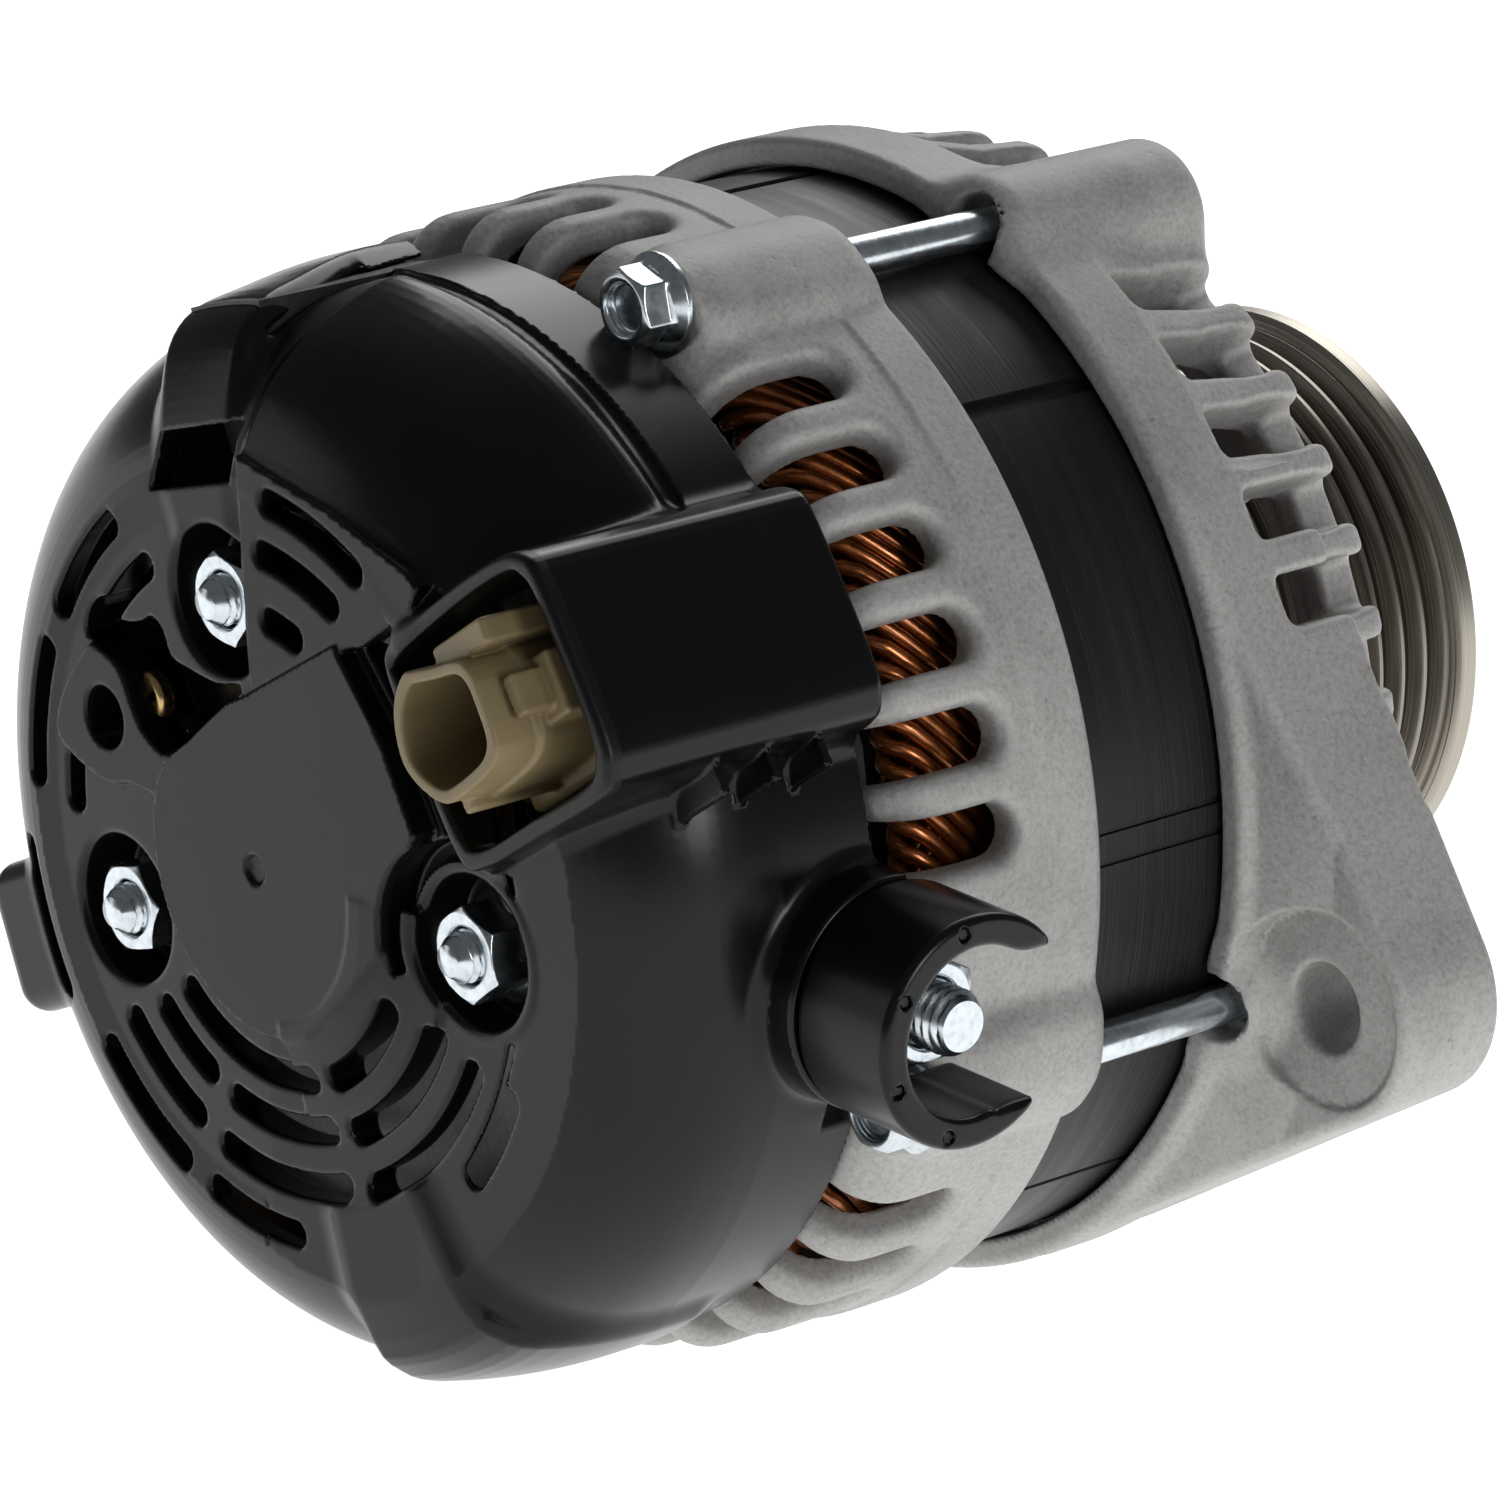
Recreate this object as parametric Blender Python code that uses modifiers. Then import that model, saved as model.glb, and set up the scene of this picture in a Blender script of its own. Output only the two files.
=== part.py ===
# Car alternator: ribbed cast housings around a stator stack, a claw-pole rotor on two bearings,
# a grooved belt pulley, and a moulded rear cover with a connector hood and an output terminal.
#
# Frame: metres, +Z up. The shaft axis is the Y axis, with the pulley towards +Y and the rear cover
# towards -Y. The origin is the centre of the shaft's flat front end. Inside this file lengths are
# in millimetres, and a "station" is a distance along the shaft measured from the face where the
# rear housing meets the stator stack. Angles are seen from behind the cover: 0 is +X, 90 is +Z.

import math
import bpy
import bmesh
from mathutils import Matrix, Vector

MM = 0.001
GAP = 0.3                      # clearance between neighbouring pieces

# ---- driving dimensions (mm, stations along the shaft) ----
NOSE = 88.0                    # shaft front end
CORE_R, CORE_BORE = 63.4, 50.2
CORE_REAR, CORE_FRONT = -3.0, 23.0
FLANGE_R = 66.4                # rear housing flange
LIP_R = 67.3                   # front housing lip
LIP_REAR = 19.6
REAR_WALL = -28.0              # rear face of the rear housing
BOLT_R, BOLT_SHANK, BOLT_HEAD_AT = 66.0, 2.25, -25.0
BOLT_ANGLES = (71.0, -16.0, 164.0, -109.0)
FIN_PITCH, FIN_START = 10.0, 60.4
RIB_PITCH, RIB_START = 9.6, 9.3
EAR_X, EAR_Z, EAR_R, EAR_HOLE = 76.0, -15.8, 13.0, 5.1
EAR_REAR, EAR_FRONT = 24.0, 39.0
COVER_REAR, COVER_RIM = -63.5, -28.4
COVER_WALL = 2.2
NUTS = ((105.5, 29.9), (-155.0, 30.3), (-0.7, 35.0))       # angle and radius of the cover's studs
WELL_FLOOR, WELL_R = -56.7, 8.6
STUD_R, STUD_END = 2.95, -66.0
BULGE_TOP, BULGE_TOP_R = (96.5, 115.5), 65.2
HOOD_ANGLE = 35.0              # the connector hood's radial direction
HOOD_U, HOOD_V = (37.5, 69.5), (-15.6, 13.6)
TERM_S, TERM_Z, TERM_R, TERM_END = -31.3, -3.3, 13.1, 81.5
PULLEY_R, PULLEY_FLANGE = 34.2, 35.7
GROOVES, GROOVE_PITCH = 7, 3.56
HOUSING_STEPS = 36
ROTOR_R = 49.6
SHAFT_R = 8.5
ON_SHAFT = SHAFT_R + GAP       # bore of everything that sits on the shaft
SLIP_R = 8.0
CLAWS = 6                      # fingers of each pole wheel
BRUSH_STATIONS = (-38.4, -45.4)

for ob in list(bpy.data.objects):
    bpy.data.objects.remove(ob, do_unlink=True)

scene = bpy.context.scene
parts = bpy.data.collections.new("car_alternator")
tools = bpy.data.collections.new("cutters")
scene.collection.children.link(parts)
scene.collection.children.link(tools)

# The axis empty turns local Z onto the shaft axis, so pieces are modelled with local Z as station.
axis = bpy.data.objects.new("shaft_axis", None)
parts.objects.link(axis)
axis.location = (0.0, -NOSE * MM, 0.0)
axis.rotation_euler = (-math.pi / 2, 0.0, 0.0)


def material(name, colour, rough, metal):
    m = bpy.data.materials.new(name)
    m.use_nodes = True
    b = m.node_tree.nodes["Principled BSDF"]
    b.inputs["Base Color"].default_value = (*colour, 1.0)
    b.inputs["Roughness"].default_value = rough
    b.inputs["Metallic"].default_value = metal
    m.diffuse_color = (*colour, 1.0)
    return m


CAST = ("cast_aluminium", (0.42, 0.41, 0.39), 0.55, 0.9)
BLACK = ("black_plastic", (0.012, 0.012, 0.013), 0.22, 0.0)
STEEL = ("lamination_steel", (0.03, 0.03, 0.032), 0.45, 0.6)
ZINC = ("zinc_steel", (0.62, 0.66, 0.68), 0.25, 1.0)
COPPER = ("copper_wire", (0.55, 0.2, 0.07), 0.3, 1.0)
BEIGE = ("beige_plastic", (0.42, 0.31, 0.19), 0.5, 0.0)
PULLEY = ("turned_steel", (0.3, 0.27, 0.22), 0.35, 1.0)
BEARING = ("bearing_steel", (0.55, 0.55, 0.55), 0.25, 1.0)
BRASS = ("brass_contact", (0.6, 0.42, 0.16), 0.3, 1.0)
CARBON = ("carbon_brush", (0.03, 0.03, 0.03), 0.7, 0.0)
DARK = ("dark_resin", (0.02, 0.022, 0.02), 0.5, 0.0)
FORGED = ("forged_steel", (0.12, 0.12, 0.12), 0.5, 0.8)


def own_material(ob, spec):
    name, colour, rough, metal = spec
    ob.data.materials.clear()
    ob.data.materials.append(material(name + "_" + ob.name, colour, rough, metal))


def polar(angle, radius, station):
    """Local point from a viewing angle, a radius and a station."""
    a = math.radians(angle)
    return Vector((radius * math.cos(a), -radius * math.sin(a), station)) * MM


def place(ob, spec=None, parent=True):
    """Links a finished piece, or a cutter when spec is None, under the axis empty."""
    if spec is None:
        tools.objects.link(ob)
        ob.hide_render = True
        ob.display_type = "WIRE"
    else:
        parts.objects.link(ob)
        own_material(ob, spec)
    if parent:
        ob.parent = axis
    return ob


def turned(name, profile, steps, spec=None, smooth=True, shell=False):
    """Profile of (radius, station) pairs in mm, outer side first from front to rear, revolved."""
    bm = bmesh.new()
    vs = [bm.verts.new((r * MM, 0.0, s * MM)) for r, s in profile]
    closed = profile[0][0] > 0.0 and not shell
    for i in range(len(vs) - (0 if closed else 1)):
        bm.edges.new((vs[i], vs[(i + 1) % len(vs)]))
    me = bpy.data.meshes.new(name)
    bm.to_mesh(me)
    bm.free()
    ob = bpy.data.objects.new(name, me)
    sc = ob.modifiers.new("turn", "SCREW")
    sc.axis = "Z"
    sc.steps = steps
    sc.render_steps = steps
    sc.use_merge_vertices = True
    sc.merge_threshold = 0.00001
    sc.use_smooth_shade = smooth
    return place(ob, spec)


def cross_turned(name, profile, steps, spec=None, smooth=True):
    """A turned piece on the terminal's axis, which is parallel to +X; its stations are x values."""
    ob = turned(name, profile, steps, spec, smooth)
    ob.rotation_euler = (0.0, math.pi / 2, 0.0)
    ob.location = Vector((0.0, -TERM_Z, TERM_S)) * MM
    return ob


def mesh_of(name, bm, spec=None):
    me = bpy.data.meshes.new(name)
    bm.to_mesh(me)
    bm.free()
    return place(bpy.data.objects.new(name, me), spec)


def box_into(bm, centre, size, turn=0.0):
    """Adds a box, then turns it about the shaft axis by a viewing angle in degrees."""
    got = bmesh.ops.create_cube(bm, size=1.0)["verts"]
    bmesh.ops.scale(bm, vec=Vector(size) * MM, verts=got)
    bmesh.ops.translate(bm, vec=Vector(centre) * MM, verts=got)
    if turn:
        spin = Matrix.Rotation(math.radians(-turn), 3, "Z")
        bmesh.ops.rotate(bm, cent=(0, 0, 0), matrix=spin, verts=got)
    return got


def cyl_into(bm, angle, radius, s0, s1, r, sides=24):
    """Adds a cylinder along the shaft direction, centred at (angle, radius)."""
    c = polar(angle, radius, (s0 + s1) / 2)
    bmesh.ops.create_cone(bm, cap_ends=True, segments=sides, radius1=r * MM, radius2=r * MM,
                          depth=(s1 - s0) * MM, matrix=Matrix.Translation(c))


def outline(name, points, s0, s1, spec=None, holes=()):
    """Flat outline of (x, z) points in mm as a filled curve, extruded from station s0 to s1."""
    cu = bpy.data.curves.new(name, "CURVE")
    cu.dimensions = "2D"
    cu.fill_mode = "BOTH"
    cu.extrude = (s1 - s0) / 2 * MM
    for loop in (points,) + tuple(holes):
        sp = cu.splines.new("POLY")
        sp.points.add(len(loop) - 1)
        for p, (x, z) in zip(sp.points, loop):
            p.co = (x * MM, -z * MM, 0.0, 1.0)
        sp.use_cyclic_u = True
    tmp = bpy.data.objects.new(name + "_curve", cu)
    scene.collection.objects.link(tmp)
    bpy.context.view_layer.update()
    me = bpy.data.meshes.new_from_object(tmp.evaluated_get(bpy.context.evaluated_depsgraph_get()))
    bpy.data.objects.remove(tmp, do_unlink=True)
    me.name = name
    bm = bmesh.new()
    bm.from_mesh(me)
    bmesh.ops.remove_doubles(bm, verts=bm.verts, dist=0.000005)
    bmesh.ops.translate(bm, vec=(0, 0, (s0 + s1) / 2 * MM), verts=bm.verts)
    bmesh.ops.recalc_face_normals(bm, faces=bm.faces)
    bm.to_mesh(me)
    bm.free()
    return place(bpy.data.objects.new(name, me), spec)


def arc(cx, cz, r, a0, a1, n):
    return [(cx + r * math.cos(math.radians(a0 + (a1 - a0) * i / n)),
             cz + r * math.sin(math.radians(a0 + (a1 - a0) * i / n))) for i in range(n + 1)]


def arc_slot(r, a0, a1, w, n=8):
    """Outline of a slot that follows a circle of radius r about the shaft, with round ends."""
    h = w / 2
    pts = arc(0, 0, r + h, a0, a1, n)
    e = math.radians(a1)
    pts += arc(r * math.cos(e), r * math.sin(e), h, a1, a1 + 180, 3)[1:-1]
    pts += arc(0, 0, r - h, a1, a0, n)
    e = math.radians(a0)
    pts += arc(r * math.cos(e), r * math.sin(e), h, a0 + 180, a0 + 360, 3)[1:-1]
    return pts


def rounded(u0, u1, v0, v1, r, n=3):
    """Rounded rectangle in the hood's radial (u) and tangential (v) directions, as (x, z)."""
    pts = (arc(u1 - r, v1 - r, r, 0, 90, n) + arc(u0 + r, v1 - r, r, 90, 180, n)
           + arc(u0 + r, v0 + r, r, 180, 270, n) + arc(u1 - r, v0 + r, r, 270, 360, n))
    a = math.radians(HOOD_ANGLE)
    return [(u * math.cos(a) - v * math.sin(a), u * math.sin(a) + v * math.cos(a)) for u, v in pts]


def boolean(ob, tool, op="DIFFERENCE"):
    m = ob.modifiers.new(op.lower(), "BOOLEAN")
    m.object = tool
    m.operation = op
    m.solver = "EXACT"
    return m


def soften(ob, width, segments=1, angle=35):
    b = ob.modifiers.new("edge", "BEVEL")
    b.width = width * MM
    b.segments = segments
    b.limit_method = "ANGLE"
    b.angle_limit = math.radians(angle)


def smooth(ob, angle=35):
    ob.data.shade_smooth()
    ob.data.set_sharp_from_angle(angle=math.radians(angle))


# ------------------------------------------------------------------ front housing


def clear_of_bolts(angle, margin):
    return min(abs((angle - b + 180) % 360 - 180) for b in BOLT_ANGLES) > margin


def drill(ob, name, r, s0, s1, sides=12):
    """Cuts one round hole at each through bolt."""
    bm = bmesh.new()
    for a in BOLT_ANGLES:
        cyl_into(bm, a, BOLT_R, s0, s1, r, sides)
    boolean(ob, mesh_of(name, bm))


front = turned("front_housing", [
    (0, 56.0), (29.5, 56.0), (33.0, 50.5), (57.2, 49.4), (63.2, 38.0), (LIP_R, 29.0),
    (LIP_R, LIP_REAR + 0.7), (LIP_R - 0.7, LIP_REAR), (0, LIP_REAR)], HOUSING_STEPS, CAST)

# fins: windows over the winding, and pockets between the fins' noses; none behind the ear
low, high = bmesh.new(), bmesh.new()
for k in range(36):
    mid = FIN_START - FIN_PITCH * (k + 0.5)
    if clear_of_bolts(mid, 11.0):
        box_into(high, (66.5, 0, 49.0), (13.6, 6.2, 14.0), mid)
        if not -57.0 < mid < 20.0:
            box_into(low, (62.0, 0, 36.2), (20.0, 6.4, 13.4), mid)
boolean(front, mesh_of("cut_front_pockets", high))
boolean(front, mesh_of("cut_front_windows", low))

# pads for the through bolts, then the mounting ear with its raised boss
bm = bmesh.new()
for a in BOLT_ANGLES:
    cyl_into(bm, a, 63.0, LIP_REAR - GAP, 47.6, 8.8, 18)
boolean(front, mesh_of("add_front_pads", bm), "UNION")
dist = math.hypot(EAR_X, EAR_Z)
lean = math.degrees(math.atan2(EAR_Z, EAR_X))
spread = math.degrees(math.acos((LIP_R - 0.5 - EAR_R) / dist))
ear_pts = (arc(EAR_X, EAR_Z, EAR_R, lean - spread, lean + spread, 10)
           + arc(0, 0, LIP_R - 0.5, lean + spread, lean + spread + 2, 1)
           + arc(0, 0, 58.0, lean + spread + 2, lean - spread - 2, 8)
           + arc(0, 0, LIP_R - 0.5, lean - spread - 2, lean - spread, 1))
boolean(front, outline("add_ear", ear_pts, EAR_REAR, EAR_FRONT), "UNION")
bm = bmesh.new()
cyl_into(bm, lean, dist, EAR_REAR - 1.0, EAR_FRONT + 1.0, 11.0, 24)
boolean(front, mesh_of("add_ear_boss", bm), "UNION")

# the inside: winding space, stator seat, bearing seat and shaft hole
boolean(front, turned("cut_front_inside", [
    (0, 60.0), (20.0, 60.0), (20.0, 54.0), (23.5, 54.0), (23.5, 40.3), (31.0, 40.3), (31.0, 46.0),
    (53.0, 46.0), (57.0, 43.0), (60.0, CORE_FRONT + GAP), (CORE_R + 0.5, CORE_FRONT + GAP),
    (CORE_R + 0.5, 10.0), (0, 10.0)], HOUSING_STEPS))
bm = bmesh.new()
cyl_into(bm, lean, dist, 10.0, 50.0, EAR_HOLE, 24)
boolean(front, mesh_of("cut_ear_hole", bm))
drill(front, "cut_front_holes", BOLT_SHANK + GAP, 12.0, 43.5)
drill(front, "cut_bolt_pockets", 3.6, 11.0, LIP_REAR + 4.0, 14)
for k in range(8):
    a = 22.5 + 45 * k
    inlet = arc(0, 0, 50.0, a - 15, a + 15, 4) + arc(0, 0, 37.0, a + 13, a - 13, 3)
    boolean(front, outline("cut_front_inlet_%d" % k, inlet, 44.0, 53.0))

# ------------------------------------------------------------------ rear housing
rear = turned("rear_housing", [
    (0, 0.0), (FLANGE_R, 0.0), (FLANGE_R, -7.0), (66.0, -7.6), (66.0, -20.0), (64.4, -24.6),
    (59.0, REAR_WALL), (23.0, REAR_WALL), (23.0, -33.0), (0, -33.0)], HOUSING_STEPS, CAST)
bm = bmesh.new()
for a in BOLT_ANGLES:
    cyl_into(bm, a, 62.2, BOLT_HEAD_AT - 0.8, -0.2, 8.0, 18)
boolean(rear, mesh_of("add_rear_pads", bm), "UNION")
boolean(rear, turned("cut_rear_inside", [
    (0, 5.0), (CORE_R + 0.5, 5.0), (CORE_R + 0.5, CORE_REAR - GAP), (61.8, CORE_REAR - GAP),
    (61.8, -20.0), (57.0, -24.5), (23.5, -24.5), (23.5, -20.0), (17.9, -20.0), (17.9, -40.0),
    (0, -40.0)], HOUSING_STEPS))
bm = bmesh.new()
for k in range(37):
    mid = RIB_START + RIB_PITCH * k
    if clear_of_bolts(mid, 11.5):
        box_into(bm, (62.0, 0, -21.0), (21.0, 6.3, 19.0), mid)
boolean(rear, mesh_of("cut_rear_windows", bm))
drill(rear, "cut_rear_holes", BOLT_SHANK + GAP, -32.0, 4.0)
drill(rear, "cut_spot_faces", 6.4, -34.0, BOLT_HEAD_AT, 18)
for k in range(6):
    a = 30 + 60 * k
    inlet = arc(0, 0, 46.0, a - 17, a + 17, 4) + arc(0, 0, 28.5, a + 10, a - 10, 3)
    boolean(rear, outline("cut_rear_inlet_%d" % k, inlet, -30.0, -23.0))

# ------------------------------------------------------------------ stator
core = turned("stator_core", [(CORE_BORE, CORE_FRONT), (CORE_R, CORE_FRONT), (CORE_R, CORE_REAR),
                              (CORE_BORE, CORE_REAR)], HOUSING_STEPS, STEEL)
bm = bmesh.new()
for k in range(36):
    box_into(bm, (53.4, 0, 10.0), (9.0, 3.0, 40.0), 10 * k)
for a in (50.5, 4.5, -40.5, 96.0, 140.0, -84.0, -130.0, 186.0):
    box_into(bm, (CORE_R, 0, 10.0), (0.8, 1.6, 40.0), a)
boolean(core, mesh_of("cut_core_slots", bm))


def winding(name, r0, r1, s0, s1, steps=28):
    """End turns of the stator winding as one ring with rounded crowns."""
    m, h = (r0 + r1) / 2, (r1 - r0) / 2
    lo, hi = (s0, s1) if s0 < s1 else (s1, s0)
    q = [(m + h * 0.5, hi), (r1, hi - h * 0.7), (r1, lo), (r0, lo), (r0, hi - h * 0.7),
         (m - h * 0.5, hi)]
    if s1 < s0:
        q = [(r1, hi), (r1, lo + h * 0.7), (m + h * 0.5, lo), (m - h * 0.5, lo), (r0, lo + h * 0.7),
             (r0, hi)]
    return turned(name, q, steps, COPPER)


winding("stator_winding_front", 50.6, 56.4, CORE_FRONT + GAP, 38.0)
winding("stator_winding_rear", 50.6, 60.6, -20.0, CORE_REAR - GAP)

# ------------------------------------------------------------------ through bolts
bolt_mesh = None
for k, a in enumerate(BOLT_ANGLES):
    name = "through_bolt_%d" % (k + 1)
    if bolt_mesh is None:
        seat = BOLT_HEAD_AT - GAP
        body = turned(name, [
            (0, 42.8), (1.6, 42.8), (BOLT_SHANK, 42.0), (BOLT_SHANK, seat), (5.5, seat),
            (5.6, seat - 0.9), (4.4, seat - 1.7), (0, seat - 1.7)], 12, ZINC)
        bm = bmesh.new()
        bmesh.ops.create_cone(bm, cap_ends=True, segments=6, radius1=4.2 * MM, radius2=4.6 * MM,
                              depth=4.6 * MM, matrix=Matrix.Translation((0, 0, (seat - 3.4) * MM)))
        head = mesh_of("add_bolt_head", bm)
        boolean(body, head, "UNION")
        bm = bmesh.new()
        bmesh.ops.create_cone(bm, cap_ends=True, segments=10, radius1=3.0 * MM, radius2=2.4 * MM,
                              depth=2.4 * MM, matrix=Matrix.Translation((0, 0, (seat - 5.7) * MM)))
        dish = mesh_of("cut_bolt_dish", bm)
        boolean(body, dish)
        bpy.context.view_layer.update()
        ev = body.evaluated_get(bpy.context.evaluated_depsgraph_get())
        bolt_mesh = bpy.data.meshes.new_from_object(ev)
        bolt_mesh.name = "through_bolt"
        bpy.data.objects.remove(body, do_unlink=True)
        bpy.data.objects.remove(head, do_unlink=True)
        bpy.data.objects.remove(dish, do_unlink=True)
    ob = bpy.data.objects.new(name, bolt_mesh.copy())
    place(ob, ZINC)
    ob.location = polar(a, BOLT_R, 0.0)

# ------------------------------------------------------------------ rear cover
cover = turned("rear_cover", [
    (61.6, COVER_RIM), (61.6, -42.0), (60.0, -51.0), (57.0, -57.0), (51.8, -61.2),
    (44.0, COVER_REAR), (0, COVER_REAR)], HOUSING_STEPS, BLACK, shell=True)
sol = cover.modifiers.new("wall", "SOLIDIFY")
sol.thickness = COVER_WALL * MM
sol.offset = -1.0
sol.use_even_offset = True
sol.use_quality_normals = True


def sector(name, r0, r1, a0, a1, s0, s1, spec=None, n=6):
    return outline(name, arc(0, 0, r1, a0, a1, n) + arc(0, 0, r0, a1, a0, n), s0, s1, spec)


# bulges that house the regulator and give the rim its lugs; each is hollow inside
boolean(cover, sector("add_bulge_top", 50.0, BULGE_TOP_R, *BULGE_TOP, -61.0, COVER_RIM), "UNION")
boolean(cover, sector("add_bulge_left", 53.0, 60.8, 196.0, 214.0, -61.5, -40.0), "UNION")
boolean(cover, sector("add_bulge_low", 53.0, 61.4, -74.0, -50.0, -61.5, -40.0), "UNION")
hood = outline("add_hood", rounded(*HOOD_U, *HOOD_V, 5.0), -66.2, COVER_RIM - 0.6)
boolean(cover, hood, "UNION")
bm = bmesh.new()
for a, r in NUTS:
    cyl_into(bm, a, r, COVER_REAR + 1.0, WELL_FLOOR + 2.1, WELL_R + 1.6, 20)
boolean(cover, mesh_of("add_wells", bm), "UNION")
# raised plates of the rear face: the round middle and the slotted panel above it
bm = bmesh.new()
cyl_into(bm, 0, 0, COVER_REAR - 2.4, COVER_REAR + 1.0, 19.4, 32)
boolean(cover, mesh_of("add_centre_plate", bm), "UNION")
panel = [(-1.6, 22.0), (17.8, 31.2), (26.8, 37.9), (27.7, 40.6), (-2.5, 46.2)]
boolean(cover, outline("add_panel", panel, COVER_REAR - 1.9, COVER_REAR + 0.9), "UNION")
# seat for the terminal sleeve, stopped short of the rear housing
seat = cross_turned("add_terminal_seat", [
    (0, 66.6), (13.3, 66.6), (13.4, 60.0), (15.5, 55.0), (15.5, 53.2), (0, 53.2)], 28)
bm = bmesh.new()
box_into(bm, (60.0, 0, COVER_RIM + 20.0), (60.0, 80.0, 40.0))
boolean(seat, mesh_of("cut_seat_front", bm))
boolean(cover, seat, "UNION")

# inside space of the bulges, the hood's cavity, the wells, the terminal's passage and the vents
boolean(cover, sector("cut_bulge_top", 45.0, BULGE_TOP_R - 2.3, BULGE_TOP[0] + 2.2, BULGE_TOP[1] - 2.2,
                      -58.6, COVER_RIM + 4.0))
boolean(cover, outline("cut_hood", rounded(HOOD_U[0] + 1.6, HOOD_U[1] - 1.6, HOOD_V[0] + 1.6,
                                           HOOD_V[1] - 1.6, 3.6), -70.0, -33.0))
wells, holes = bmesh.new(), bmesh.new()
for a, r in NUTS:
    cyl_into(wells, a, r, -70.0, WELL_FLOOR, WELL_R, 20)
    cyl_into(holes, a, r, WELL_FLOOR - 2.0, WELL_FLOOR + 5.0, STUD_R + 0.55, 12)
boolean(cover, mesh_of("cut_wells", wells))
boolean(cover, mesh_of("cut_stud_holes", holes))
boolean(cover, cross_turned("cut_terminal_way", [(0, 77.0), (7.4, 77.0), (7.4, 47.0), (0, 47.0)], 20))
bm = bmesh.new()
cyl_into(bm, BOLT_ANGLES[1], BOLT_R, -32.0, -15.0, 6.5, 18)
relief = mesh_of("cut_bolt_relief", bm)
boolean(cover, relief)
SLOTS = [(43.2, 130, 149), (43.2, 159, 179), (36.5, 126, 144), (36.5, 173, 181),
         (43.2, -135, -113), (36.4, -135, -113), (29.8, -131, -113), (24.0, -128, -70),
         (30.0, -102, -70), (36.6, -103, -70), (42.8, -104, -85),
         (24.9, -58, -24), (31.2, -60, -22), (37.6, -60, -22), (44.6, -36, -17),
         (43.0, 66, 84), (36.4, 70, 85), (30.0, 77, 82)]
for k, (r, a0, a1) in enumerate(SLOTS):
    n = max(2, round((a1 - a0) / 11))
    boolean(cover, outline("cut_vent_%02d" % k, arc_slot(r, a0, a1, 2.9, n), -70.0, -60.5))

# ------------------------------------------------------------------ cover studs and nuts
for k, (a, r) in enumerate(NUTS):
    tag = str(k + 1)
    stud = turned("cover_stud_" + tag, [
        (0, REAR_WALL - GAP), (STUD_R, REAR_WALL - GAP), (STUD_R, STUD_END + 1.0),
        (STUD_R - 0.75, STUD_END), (0, STUD_END)], 14, ZINC)
    stud.location = polar(a, r, 0.0)
    seat = WELL_FLOOR - GAP
    nut = turned("cover_nut_" + tag, [
        (STUD_R + GAP, seat), (6.4, seat), (6.5, seat - 0.9), (5.2, seat - 1.7), (STUD_R + GAP, seat - 1.7)],
        12, ZINC)
    nut.location = stud.location
    hexagon = turned("add_hexagon_" + tag, [
        (STUD_R + 0.65, seat - 1.4), (5.6, seat - 1.4), (5.6, seat - 6.2), (4.9, seat - 6.8),
        (STUD_R + 0.65, seat - 6.8)], 6, None, False)
    hexagon.location = stud.location
    boolean(nut, hexagon, "UNION")

# ------------------------------------------------------------------ connector
conn = outline("connector_housing", rounded(43.8, 61.2, -8.0, 6.6, 4.2, 4), -73.0, -34.0, BEIGE)
boolean(conn, outline("add_conn_block", rounded(41.6, 66.2, -10.2, 8.8, 2.0, 2), -58.0, -33.3), "UNION")
boolean(conn, outline("add_conn_tab", rounded(60.0, 63.6, -4.4, 1.4, 0.8, 1), -69.5, -57.5), "UNION")
boolean(conn, outline("cut_conn_socket", rounded(45.4, 59.6, -6.4, 5.0, 3.0, 4), -80.0, -51.0))
for k in range(3):
    u = 49.0 + 3.5 * k
    a = math.radians(HOOD_ANGLE)
    x, z = u * math.cos(a) + 0.7 * math.sin(a), u * math.sin(a) - 0.7 * math.cos(a)
    bm = bmesh.new()
    got = box_into(bm, (0, 0, -57.5), (0.8, 2.2, 12.4))
    bmesh.ops.rotate(bm, cent=(0, 0, 0), matrix=Matrix.Rotation(-a, 3, "Z"), verts=got)
    pin = mesh_of("connector_pin_%d" % (k + 1), bm, BRASS)
    pin.location = Vector((x, -z, 0.0)) * MM

# ------------------------------------------------------------------ output terminal
sleeve = cross_turned("terminal_sleeve", [
    (10.2, TERM_END), (12.7, TERM_END), (TERM_R, TERM_END - 0.4), (TERM_R, 67.0), (10.2, 67.0)], 32, BLACK)
bm = bmesh.new()
box_into(bm, (76.0, -(TERM_Z - 1.05), TERM_S + 12.0), (30.0, 17.1, 20.0))
boolean(sleeve, mesh_of("cut_sleeve_side", bm))
boolean(sleeve, relief)
cross_turned("terminal_stud", [(0, 79.0), (2.2, 79.0), (3.0, 78.0), (3.0, 52.8), (0, 52.8)], 14, ZINC)
cross_turned("terminal_washer", [(3.3, 68.6), (7.0, 68.6), (7.0, 67.2), (3.3, 67.2)], 20, ZINC)
cross_turned("terminal_nut", [(3.9, 74.0), (5.8, 74.0), (5.8, 68.9), (3.9, 68.9)], 6, ZINC, False)
bm = bmesh.new()
box_into(bm, (50.4, 3.3, -38.6), (4.0, 9.4, 19.6))
mesh_of("terminal_post", bm, BRASS)

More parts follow.
